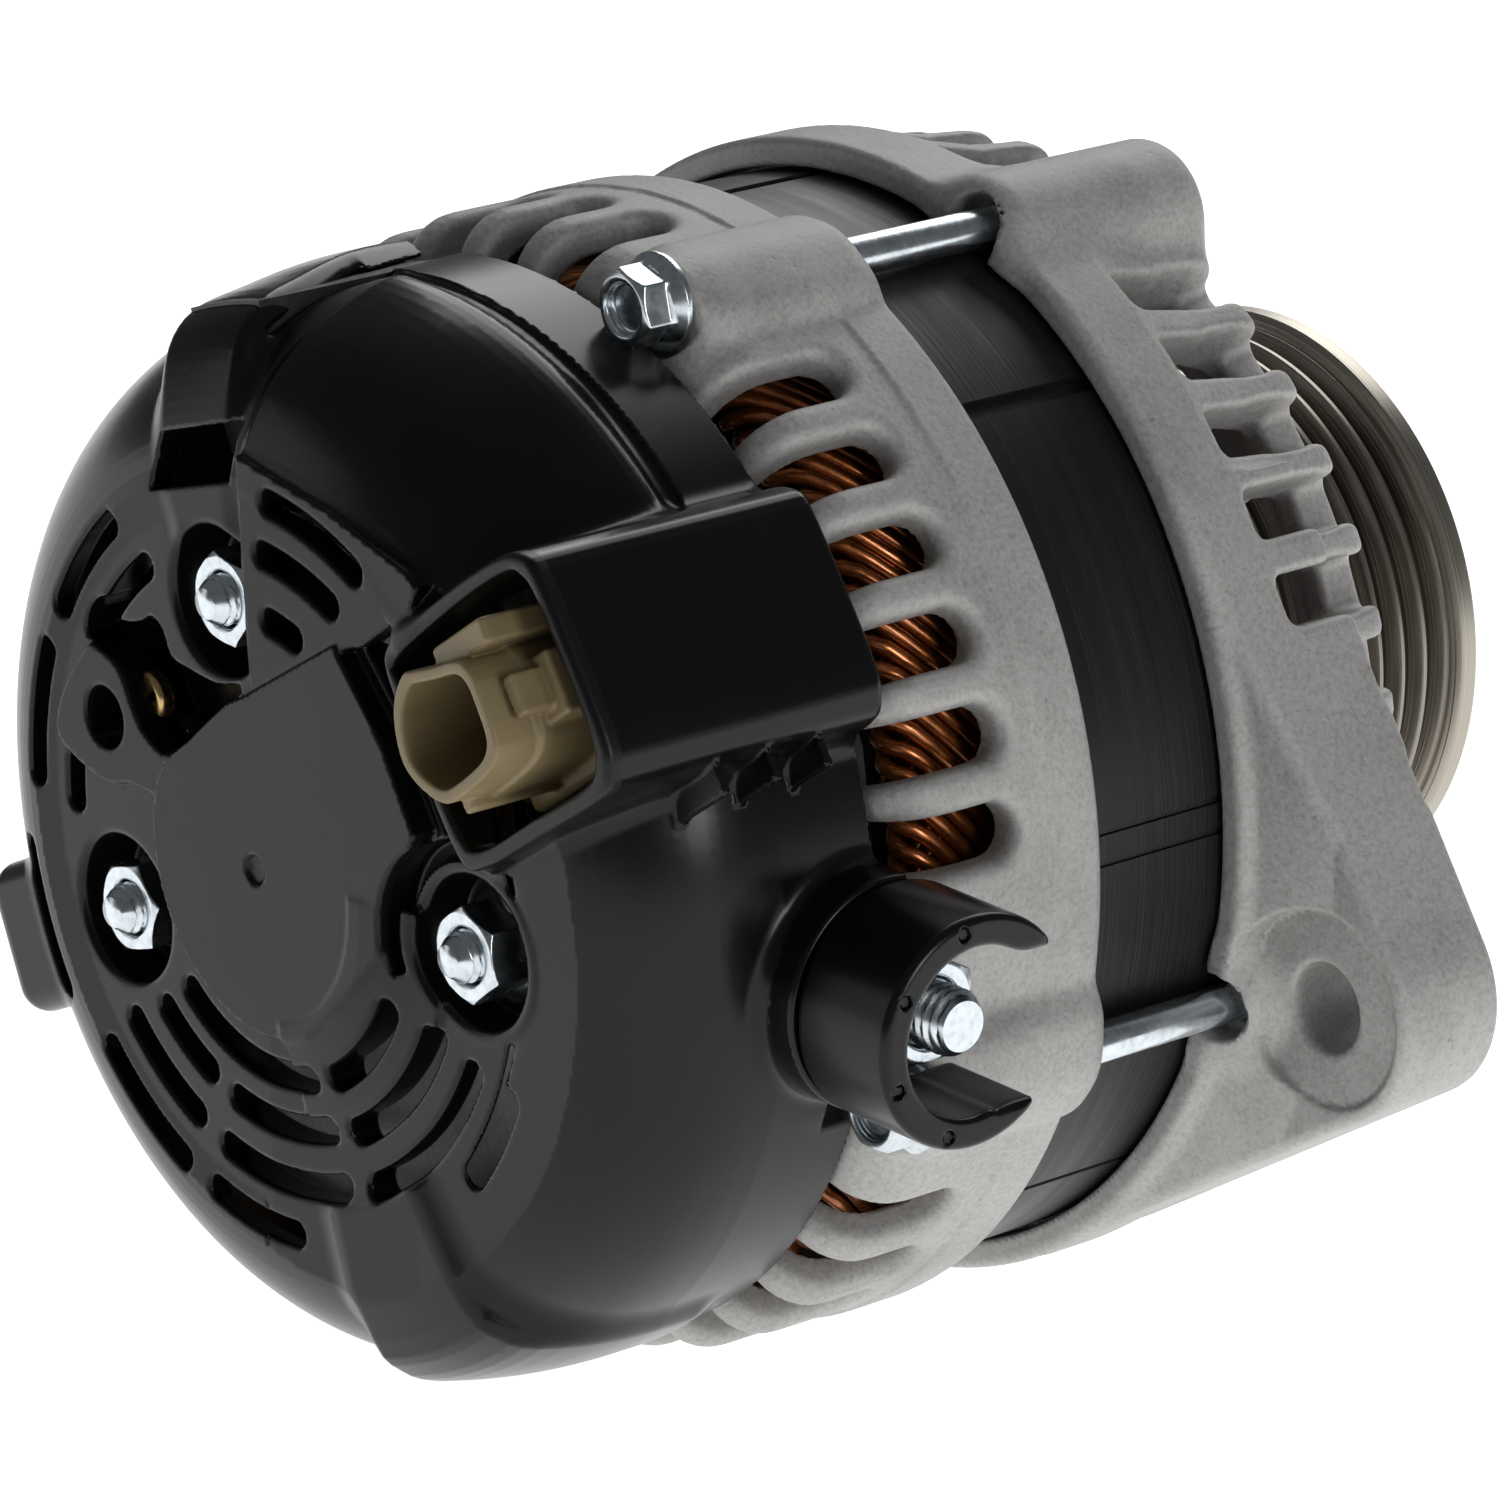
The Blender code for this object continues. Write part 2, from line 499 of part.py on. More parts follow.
# ------------------------------------------------------------------ rectifier, regulator, brush gear
sector("rectifier_plate_negative", 23.0, 54.0, -148, -34, -36.5, -34.0, CAST, 12)
sector("rectifier_plate_positive", 22.0, 50.0, -148, -8, -51.5, -49.0, CAST, 14)
for k in range(6):
    a = -140 + 20 * k
    d = turned("rectifier_diode_%d" % (k + 1), [(0, -39.2), (4.6, -39.2), (4.6, -47.4), (1.0, -48.0),
                                               (1.0, -48.7), (0, -48.7)], 14, DARK)
    d.location = polar(a, 43.0, 0.0)
outline("voltage_regulator", arc(0, 0, BULGE_TOP_R - 3.4, BULGE_TOP[0] + 3.3, BULGE_TOP[1] - 3.3, 4)
        + [(-16.0, 42.0), (-7.4, 42.0)], -56.0, -31.0, DARK)
bm = bmesh.new()
box_into(bm, (0, -24.5, -41.8), (9.4, 27.0, 15.4))
holder = mesh_of("brush_holder", bm, DARK)
bm = bmesh.new()
for s in BRUSH_STATIONS:
    box_into(bm, (0, -21.5, s), (5.2, 29.0, 5.2))
boolean(holder, mesh_of("cut_brush_ways", bm))
soften(holder, 0.4)
for k, s in enumerate(BRUSH_STATIONS):
    bm = bmesh.new()
    box_into(bm, (0, -(SLIP_R + 0.35 + 7.5), s), (4.6, 15.0, 4.6))
    mesh_of("brush_%d" % (k + 1), bm, CARBON)
    # each brush spring is a short wound coil on the brush's radial line
    cu = bpy.data.curves.new("coil", "CURVE")
    cu.dimensions = "3D"
    cu.bevel_depth = 0.28 * MM
    cu.bevel_resolution = 2
    cu.use_fill_caps = True
    sp = cu.splines.new("POLY")
    turns, per = 3, 6
    sp.points.add(turns * per)
    r0, r1 = SLIP_R + 16.0, 35.2
    for i, p in enumerate(sp.points):
        t = i / (turns * per)
        w = 2 * math.pi * i / per
        p.co = (1.6 * math.cos(w) * MM, -(r0 + (r1 - r0) * t) * MM, (s + 1.6 * math.sin(w)) * MM, 1.0)
    tmp = bpy.data.objects.new("coil", cu)
    scene.collection.objects.link(tmp)
    bpy.context.view_layer.update()
    me = bpy.data.meshes.new_from_object(tmp.evaluated_get(bpy.context.evaluated_depsgraph_get()))
    bpy.data.objects.remove(tmp, do_unlink=True)
    bm = bmesh.new()
    bm.from_mesh(me)
    bmesh.ops.remove_doubles(bm, verts=bm.verts, dist=0.000002)
    bmesh.ops.recalc_face_normals(bm, faces=bm.faces)
    bpy.data.meshes.remove(me)
    mesh_of("brush_spring_%d" % (k + 1), bm, ZINC)

# ------------------------------------------------------------------ bearings


def bearing(tag, s0, s1, bore, outer, ball, count):
    """Two races and a ball ring; the ball ring is one piece that turns at its own speed."""
    mid = (s0 + s1) / 2
    pitch = (bore + outer) / 2
    land = ball * 0.55
    groove = ball * 0.95
    bed = ball + 0.25
    turned(tag + "_bearing_outer", [
        (pitch + land, s1), (outer, s1), (outer, s0), (pitch + land, s0), (pitch + land, mid - groove),
        (pitch + bed, mid - groove / 2), (pitch + bed, mid + groove / 2), (pitch + land, mid + groove)],
        24, BEARING)
    turned(tag + "_bearing_inner", [
        (bore, s1), (pitch - land, s1), (pitch - land, mid + groove), (pitch - bed, mid + groove / 2),
        (pitch - bed, mid - groove / 2), (pitch - land, mid - groove), (pitch - land, s0), (bore, s0)],
        20, BEARING)
    cage = turned(tag + "_bearing_balls", [
        (pitch - 0.7, mid + 1.6), (pitch + 0.7, mid + 1.6), (pitch + 0.7, mid - 1.6),
        (pitch - 0.7, mid - 1.6)], 14, BEARING)
    bm = bmesh.new()
    for i in range(count):
        c = polar(360 / count * i, pitch, mid)
        bmesh.ops.create_uvsphere(bm, u_segments=6, v_segments=4, radius=(ball - 0.05) * MM,
                                  matrix=Matrix.Translation(c))
    boolean(cage, mesh_of("add_%s_balls" % tag, bm), "UNION")


bearing("front", 40.6, 53.7, ON_SHAFT, 23.2, 3.4, 7)
bearing("rear", -32.6, -21.6, 7.8, 17.5, 2.5, 7)
keeper = turned("bearing_retainer", [(19.6, 40.0), (30.6, 40.0), (30.6, 38.6), (19.6, 38.6)], 20, ZINC)
bm = bmesh.new()
for k in range(4):
    cyl_into(bm, 45 + 90 * k, 27.4, 36.0, 42.0, 1.9, 8)
boolean(keeper, mesh_of("cut_keeper_holes", bm))

# ------------------------------------------------------------------ rotor
turned("shaft", [
    (0, NOSE), (7.2, NOSE), (8.0, NOSE - 0.8), (SHAFT_R, NOSE - 1.0), (SHAFT_R, -19.0), (7.5, -19.6),
    (7.5, -33.6), (5.0, -34.0), (5.0, -50.2), (4.4, -50.8), (0, -50.8)], 20, BEARING)
turned("slip_ring_core", [(5.3, -34.4), (6.9, -34.4), (6.9, -50.0), (5.3, -50.0)], 20, DARK)
turned("slip_ring_1", [(7.2, -35.6), (SLIP_R, -35.6), (SLIP_R, -41.2), (7.2, -41.2)], 20, BRASS)
turned("slip_ring_2", [(7.2, -42.6), (SLIP_R, -42.6), (SLIP_R, -48.2), (7.2, -48.2)], 20, BRASS)


def claws(name, disc, hub_front, tip, start):
    """Pole wheel: a disc, a hub when hub_front is past it, and tapered fingers over the field coil."""
    s0, s1 = disc
    profile = [(42.0, s1), (42.0, s0), (ON_SHAFT, s0)]
    if hub_front > s1:
        profile = [(ON_SHAFT, hub_front), (23.0, hub_front), (23.0, s1)] + profile
    else:
        profile = [(ON_SHAFT, s1)] + profile
    ob = turned(name, profile, 24, FORGED)
    bm = bmesh.new()
    root = s0 + 0.6 if tip > s1 else s1 - 0.6
    lo, hi = min(root, tip), max(root, tip)
    for k in range(CLAWS):
        got = box_into(bm, (0, 0, (lo + hi) / 2), (1.0, 1.0, hi - lo))
        for v in got:
            at_tip = abs(v.co.z / MM - tip) < 0.01
            half = math.radians(6.0 if at_tip else 12.6)
            inner = 47.0 if at_tip else 37.0
            r = ROTOR_R if v.co.x > 0 else inner
            side = 1 if v.co.y > 0 else -1
            v.co.x = r * math.cos(half) * MM
            v.co.y = side * r * math.sin(half) * MM
        spin = Matrix.Rotation(math.radians(start + 360 / CLAWS * k), 3, "Z")
        bmesh.ops.rotate(bm, cent=(0, 0, 0), matrix=spin, verts=got)
    boolean(ob, mesh_of("add_" + name, bm), "UNION")


claws("claw_pole_rear", (-9.0, 1.6), 17.9, 26.0, 0.0)
claws("claw_pole_front", (18.4, 29.0), 0.0, -6.0, 30.0)
turned("field_coil", [
    (23.4, 17.8), (34.0, 17.8), (39.8, 12.0), (39.8, 8.0), (34.0, 2.2), (23.4, 2.2)], 28, COPPER)


def fan(name, s_disc, s_blade, count):
    """Cooling fan: a thin disc with blades that lean back from the radial direction."""
    lo, hi = min(s_disc), max(s_disc)
    ob = turned(name, [(ON_SHAFT + 0.2, hi), (40.0, hi), (40.0, lo), (ON_SHAFT + 0.2, lo)], 20, ZINC)
    bm = bmesh.new()
    a, b = sorted((s_disc[0], s_blade))
    lean_back = Matrix.Rotation(math.radians(28), 3, "Z")
    for k in range(count):
        got = box_into(bm, (36.5, 0, (a + b) / 2), (15.0, 1.2, b - a))
        bmesh.ops.rotate(bm, cent=Vector((30.0, 0, 0)) * MM, matrix=lean_back, verts=got)
        spin = Matrix.Rotation(math.radians(360 / count * k), 3, "Z")
        bmesh.ops.rotate(bm, cent=(0, 0, 0), matrix=spin, verts=got)
    boolean(ob, mesh_of("add_" + name, bm), "UNION")


fan("front_fan", (29.3, 30.5), 37.6, 11)
fan("rear_fan", (-9.3, -10.5), -17.6, 9)

turned("spacer_collar", [
    (ON_SHAFT, 61.6), (13.0, 61.6), (13.0, 54.0), (ON_SHAFT, 54.0)], 24, BEARING)
prof = [(ON_SHAFT, 76.0), (20.0, 76.0), (27.0, 79.0), (28.5, 87.4), (PULLEY_FLANGE - 0.6, 87.4),
        (PULLEY_FLANGE, 86.8), (PULLEY_FLANGE, 84.6), (PULLEY_R, 83.8)]
for k in range(GROOVES):
    top = 83.4 - GROOVE_PITCH * k
    prof += [(PULLEY_R, top - 0.4), (PULLEY_R - 2.6, top - GROOVE_PITCH / 2)]
prof += [(PULLEY_R, 57.9), (PULLEY_R - 0.6, 57.3), (26.0, 57.3), (24.0, 68.0), (14.0, 68.0),
         (14.0, 62.0), (ON_SHAFT, 62.0)]
turned("pulley", prof, 28, PULLEY)
turned("pulley_nut", [(10.1, 84.6), (13.8, 84.6), (13.8, 76.3), (10.1, 76.3)], 6, ZINC, smooth=False)
bpy.context.view_layer.update()
for ob in parts.objects:
    if ob.type == "MESH" and ob.name not in ("pulley_nut", "terminal_nut"):
        smooth(ob)
for ob in (front, rear, cover):
    weld = ob.modifiers.new("weld", "WELD")
    weld.merge_threshold = 0.00001
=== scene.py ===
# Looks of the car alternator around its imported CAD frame.
#
# Lengths are in millimetres in the part's own terms: x to the right and z up as the frame has them,
# and a station s along the shaft from the face where the rear housing meets the stator. Angles are
# seen from behind the cover, with 0 at +x and 90 at +z. Castings and mouldings are solids given by
# a signed distance, so that every edge and joint has its own fillet; the rest are turned meshes.

import math

import bpy
import numpy as np
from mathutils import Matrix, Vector


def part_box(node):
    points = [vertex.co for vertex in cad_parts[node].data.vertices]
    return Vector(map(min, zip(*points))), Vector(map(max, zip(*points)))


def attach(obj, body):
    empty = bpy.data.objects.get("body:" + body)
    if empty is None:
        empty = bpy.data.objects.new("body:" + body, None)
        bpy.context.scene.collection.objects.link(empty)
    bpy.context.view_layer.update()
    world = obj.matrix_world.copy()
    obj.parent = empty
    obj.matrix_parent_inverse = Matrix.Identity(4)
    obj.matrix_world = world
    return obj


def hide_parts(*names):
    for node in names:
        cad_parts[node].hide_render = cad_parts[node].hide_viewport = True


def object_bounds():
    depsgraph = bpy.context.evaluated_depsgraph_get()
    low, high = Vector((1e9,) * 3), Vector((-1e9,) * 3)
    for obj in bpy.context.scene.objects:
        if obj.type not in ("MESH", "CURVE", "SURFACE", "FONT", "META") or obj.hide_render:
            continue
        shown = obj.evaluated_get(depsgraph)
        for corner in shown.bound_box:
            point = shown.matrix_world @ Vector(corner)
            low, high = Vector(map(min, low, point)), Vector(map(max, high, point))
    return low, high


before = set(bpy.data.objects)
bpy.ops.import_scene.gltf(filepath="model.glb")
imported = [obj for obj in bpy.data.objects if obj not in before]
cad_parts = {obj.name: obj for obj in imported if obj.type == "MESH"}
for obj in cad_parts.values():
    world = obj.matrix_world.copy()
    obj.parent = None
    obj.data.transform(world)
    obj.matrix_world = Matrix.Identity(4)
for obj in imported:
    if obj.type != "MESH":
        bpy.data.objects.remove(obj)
cad_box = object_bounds()

MM = 0.001
STATION_0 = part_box("rear_housing")[1].y


# ------------------------------------------------------------------ places taken from the frame
def span(node):
    """Lowest and highest corner of a CAD node as (x, s, z) in mm."""
    lo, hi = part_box(node)
    return [np.array((p.x, p.y - STATION_0, p.z)) / MM for p in (lo, hi)]


def middle(node):
    lo, hi = span(node)
    return (lo + hi) / 2


def stations(node):
    """First and last station of a CAD node."""
    lo, hi = span(node)
    return lo[1], hi[1]


def polar_of(node):
    """Angle in degrees and radius of a CAD node's middle about the shaft."""
    x, _, z = middle(node)
    return math.degrees(math.atan2(z, x)), math.hypot(x, z)


BOLTS = [polar_of("through_bolt_%d" % k) for k in (1, 2, 3, 4)]
NUTS = [polar_of("cover_nut_%d" % k) for k in (1, 2, 3)]
BOLT_HEAD_AT = -25.3
TERM_X0, TERM_X1 = span("terminal_sleeve")[0][0], span("terminal_sleeve")[1][0]
TERM_S, TERM_Z = middle("terminal_washer")[1:]
CORE_REAR, CORE_FRONT = stations("stator_core")
CORE_R = span("stator_core")[1][2]
LIP_R, LIP_REAR = 67.3, 19.6
FLANGE_R, REAR_WALL = 66.4, -28.0
COVER_RIM = -28.4
HOOD_ANGLE = 35.0
EAR_X, EAR_Z, EAR_R, EAR_HOLE = 76.0, -15.8, 13.0, 5.1
EAR_REAR, EAR_FRONT = 24.0, 39.0
FIN_COUNT, FIN_START = 41, 62.8
FIN_PITCH = 360.0 / FIN_COUNT
RIB_PITCH, RIB_START = 9.6, 9.3
RIB_GAP, FIN_GAP = (-3.1, 3.1), (-3.0, 3.0)
BOLT_BORE = 2.55
COVER_FACE = -64.2


def off_bolts(angle, margin):
    """Whether an angle is further than the margin from every through bolt."""
    return min(abs((angle - a + 180) % 360 - 180) for a, _ in BOLTS) > margin


def at_polar(angle, radius):
    """The point (x, z) at an angle in degrees and a radius about the shaft."""
    a = math.radians(angle)
    return radius * math.cos(a), radius * math.sin(a)


def hood_point(u, v):
    """A point of the hood's own plane, u outwards and v across, as (x, z)."""
    a = math.radians(HOOD_ANGLE)
    return u * math.cos(a) - v * math.sin(a), u * math.sin(a) + v * math.cos(a)


# ------------------------------------------------------------------ outlines
def arc(cx, cy, r, a0, a1, n):
    """Points of an arc in n equal steps between two angles."""
    t = [math.radians(a0 + (a1 - a0) * i / n) for i in range(n + 1)]
    return [(cx + r * math.cos(a), cy + r * math.sin(a)) for a in t]


def curve(points, per=5, closed=False):
    """A smooth line through the points (Catmull-Rom)."""
    p = [np.array(q, float) for q in points]
    n = len(p)
    out = []
    for i in range(n if closed else n - 1):
        if closed:
            a, b, c, d = p[i - 1], p[i], p[(i + 1) % n], p[(i + 2) % n]
        else:
            a, b, c, d = p[max(i - 1, 0)], p[i], p[i + 1], p[min(i + 2, n - 1)]
        for k in range(per):
            t = k / per
            out.append(tuple(0.5 * (2 * b + (c - a) * t + (2 * a - 5 * b + 4 * c - d) * t * t
                                    + (3 * b - a - 3 * c + d) * t ** 3)))
    if not closed:
        out.append(tuple(p[-1]))
    return out


def outline_distance(points, a, b):
    """Signed distance from the points (a, b) to a closed outline, negative inside."""
    best = np.full(np.broadcast(a, b).shape, 1e9, np.float32)
    inside = np.zeros(best.shape, bool)
    for (p, q), (u, v) in zip(points, points[1:] + points[:1]):
        dx, dy = u - p, v - q
        t = np.clip(((a - p) * dx + (b - q) * dy) / (dx * dx + dy * dy + 1e-12), 0, 1)
        best = np.minimum(best, (a - p - t * dx) ** 2 + (b - q - t * dy) ** 2)
        if abs(dy) > 1e-9:
            inside ^= ((q > b) != (v > b)) & (a < p + (b - q) * dx / dy)
    return np.where(inside, -1.0, 1.0) * np.sqrt(best)


class Table:
    """Signed distance to an outline, sampled once and then read between its samples."""

    def __init__(self, points, pad=7.0, pitch=0.2):
        points = [tuple(map(float, q)) for q in points]
        corners = np.array(points)
        self.lo = corners.min(0) - pad
        self.hi = corners.max(0) + pad
        self.pitch = pitch
        self.n = ((self.hi - self.lo) / pitch).astype(int) + 2
        a = self.lo[0] + pitch * np.arange(self.n[0])
        b = self.lo[1] + pitch * np.arange(self.n[1])
        self.d = outline_distance(points, a[:, None], b[None, :]).astype(np.float32)

    def __call__(self, a, b):
        fa = np.clip((a - self.lo[0]) / self.pitch, 0, self.n[0] - 1.001)
        fb = np.clip((b - self.lo[1]) / self.pitch, 0, self.n[1] - 1.001)
        i, j = fa.astype(np.int32), fb.astype(np.int32)
        fa, fb = fa - i, fb - j
        low = self.d[i, j] * (1 - fa) + self.d[i + 1, j] * fa
        high = self.d[i, j + 1] * (1 - fa) + self.d[i + 1, j + 1] * fa
        return low * (1 - fb) + high * fb


# ------------------------------------------------------------------ solids as distances
class Shape:
    """A signed distance over (x, s, z), with the box outside which it has no effect."""

    def __init__(self, distance, lo, hi):
        self.distance = distance
        self.lo = np.array(lo, float)
        self.hi = np.array(hi, float)


def rounded(sides, edge):
    """Distance to the space where all of the given side distances are negative, with round edges."""
    q = [d + edge for d in sides]
    far = sum(np.maximum(d, 0) ** 2 for d in q)
    deep = q[0]
    for d in q[1:]:
        deep = np.maximum(deep, d)
    return np.sqrt(far) + np.minimum(deep, 0) - edge


def around(x, z, centre=(0.0, 0.0)):
    """Radius about an axis parallel to the shaft."""
    return np.sqrt((x - centre[0]) ** 2 + (z - centre[1]) ** 2)


def off_angle(x, z, angle, centre=(0.0, 0.0)):
    """How far the direction of (x, z) is from an angle, all in radians."""
    return np.abs((np.arctan2(z - centre[1], x - centre[0]) - angle + math.pi) % (2 * math.pi) - math.pi)


def part_ring(distance, r0, r1, a0, a1, s0, s1, centre=(0.0, 0.0)):
    """Shape whose box holds the part of a ring between two radii, angles and stations."""
    rim = arc(*centre, r1, a0, a1, 12) + arc(*centre, r0, a0, a1, 12)
    xs, zs = zip(*rim)
    return Shape(distance, (min(xs), s0, min(zs)), (max(xs), s1, max(zs)))


def middle_half(a, b):
    return (a + b) / 2, (b - a) / 2


def outside(shape, lo, hi):
    """The space around a shape, within a box."""
    return Shape(lambda x, s, z: -shape.distance(x, s, z), lo, hi)


def turned(profile, centre=(0.0, 0.0)):
    """Revolved outline of (radius, station); radius 0 lies on the axis, which is parallel to the shaft."""
    past_axis = -30.0
    table = Table([(r if r > 0 else past_axis, s) for r, s in profile])
    reach = max(r for r, _ in profile)
    s = [q[1] for q in profile]
    cx, cz = centre
    return Shape(lambda x, t, z: table(around(x, z, centre), t),
                 (cx - reach, min(s), cz - reach), (cx + reach, max(s), cz + reach))


def slab(points, s0, s1, edge=0.4):
    """Outline of (x, z) points carried from station s0 to s1."""
    table = Table(points)
    mid, half = middle_half(s0, s1)
    xz = np.array(points, float)
    return Shape(lambda x, s, z: rounded([table(x, z), np.abs(s - mid) - half], edge),
                 (xz[:, 0].min(), s0, xz[:, 1].min()), (xz[:, 0].max(), s1, xz[:, 1].max()))


def radial_box(angle, us, vs, ss, edge=0.5, corner=None):
    """A box that looks outwards at an angle: us along the radius, vs across it, ss along the shaft.
    With corner, only the corners seen from outside are rounded."""
    a = math.radians(angle)
    c, n = math.cos(a), math.sin(a)
    mids, halves = zip(*(middle_half(*q) for q in (us, vs, ss)))

    def distance(x, s, z):
        u, v = x * c + z * n, z * c - x * n
        sides = [np.abs(w - m) - h for w, m, h in zip((u, v, s), mids, halves)]
        if corner:
            return np.maximum(sides[0], rounded(sides[1:], corner))
        return rounded(sides, edge)

    xs = [u * c - v * n for u in us for v in vs]
    zs = [u * n + v * c for u in us for v in vs]
    return Shape(distance, (min(xs), ss[0], min(zs)), (max(xs), ss[1], max(zs)))


def sector(r0, r1, a0, a1, s0, s1, edge=1.0, centre=(0.0, 0.0)):
    """Part of a flat ring, about the shaft or about another centre."""
    rm, rh = middle_half(r0, r1)
    am, ah = middle_half(math.radians(a0), math.radians(a1))
    sm, sh = middle_half(s0, s1)

    def distance(x, s, z):
        r = around(x, z, centre)
        turn = off_angle(x, z, am, centre)
        return rounded([np.abs(r - rm) - rh, (turn - ah) * r, np.abs(s - sm) - sh], edge)

    return part_ring(distance, r0, r1, a0, a1, s0, s1, centre)


def turned_sector(profile, a0, a1, edge, lean=0.0):
    """Revolved outline kept between two angles; lean turns the first end, in degrees per mm of station."""
    table = Table(profile)
    radii, stations = zip(*profile)
    first = min(stations)
    end = math.radians(a1)

    def distance(x, s, z):
        r = around(x, z)
        mid, half = middle_half(np.radians(a0 + lean * (s - first)), end)
        return rounded([table(r, s), (off_angle(x, z, mid) - half) * r], edge)

    return part_ring(distance, min(radii), max(radii), a0, a1, first, max(stations))


def rod(x0, z0, r, s0, s1, edge=0.4):
    """A cylinder parallel to the shaft."""
    mid, half = middle_half(s0, s1)
    return Shape(lambda x, s, z: rounded([around(x, z, (x0, z0)) - r, np.abs(s - mid) - half], edge),
                 (x0 - r, s0, z0 - r), (x0 + r, s1, z0 + r))


def cross_rod(r, x0, x1, edge=0.4):
    """A cylinder on the output terminal's axis, which is parallel to x."""
    mid, half = middle_half(x0, x1)
    return Shape(lambda x, s, z: rounded([around(s, z, (TERM_S, TERM_Z)) - r, np.abs(x - mid) - half], edge),
                 (x0, TERM_S - r, TERM_Z - r), (x1, TERM_S + r, TERM_Z + r))


def block(lo, hi, edge=0.3):
    """A box between two corners."""
    mids, halves = zip(*(middle_half(a, b) for a, b in zip(lo, hi)))
    return Shape(lambda x, s, z: rounded([np.abs(w - m) - h for w, m, h in zip((x, s, z), mids, halves)],
                                         edge), lo, hi)


def vent(r, a0, a1, width, s0, s1):
    """A slot with round ends that follows a circle about the shaft."""
    am, ah = middle_half(math.radians(a0), math.radians(a1))
    sm, sh = middle_half(s0, s1)
    end_room = 4.0

    def distance(x, s, z):
        rho = around(x, z)
        past = np.maximum(off_angle(x, z, am) - ah, 0)
        line = np.sqrt((rho * np.cos(past) - r) ** 2 + (rho * np.sin(past)) ** 2) - width / 2
        return rounded([line, np.abs(s - sm) - sh], 0.05)

    return part_ring(distance, r - width, r + width, a0 - end_room, a1 + end_room, s0, s1)


def blended(a, b, width):
    """The smaller of two distances, with a fillet of about that width where they meet."""
    if width <= 0:
        return np.minimum(a, b)
    h = np.maximum(width - np.abs(a - b), 0) / width
    return np.minimum(a, b) - h * h * width / 4


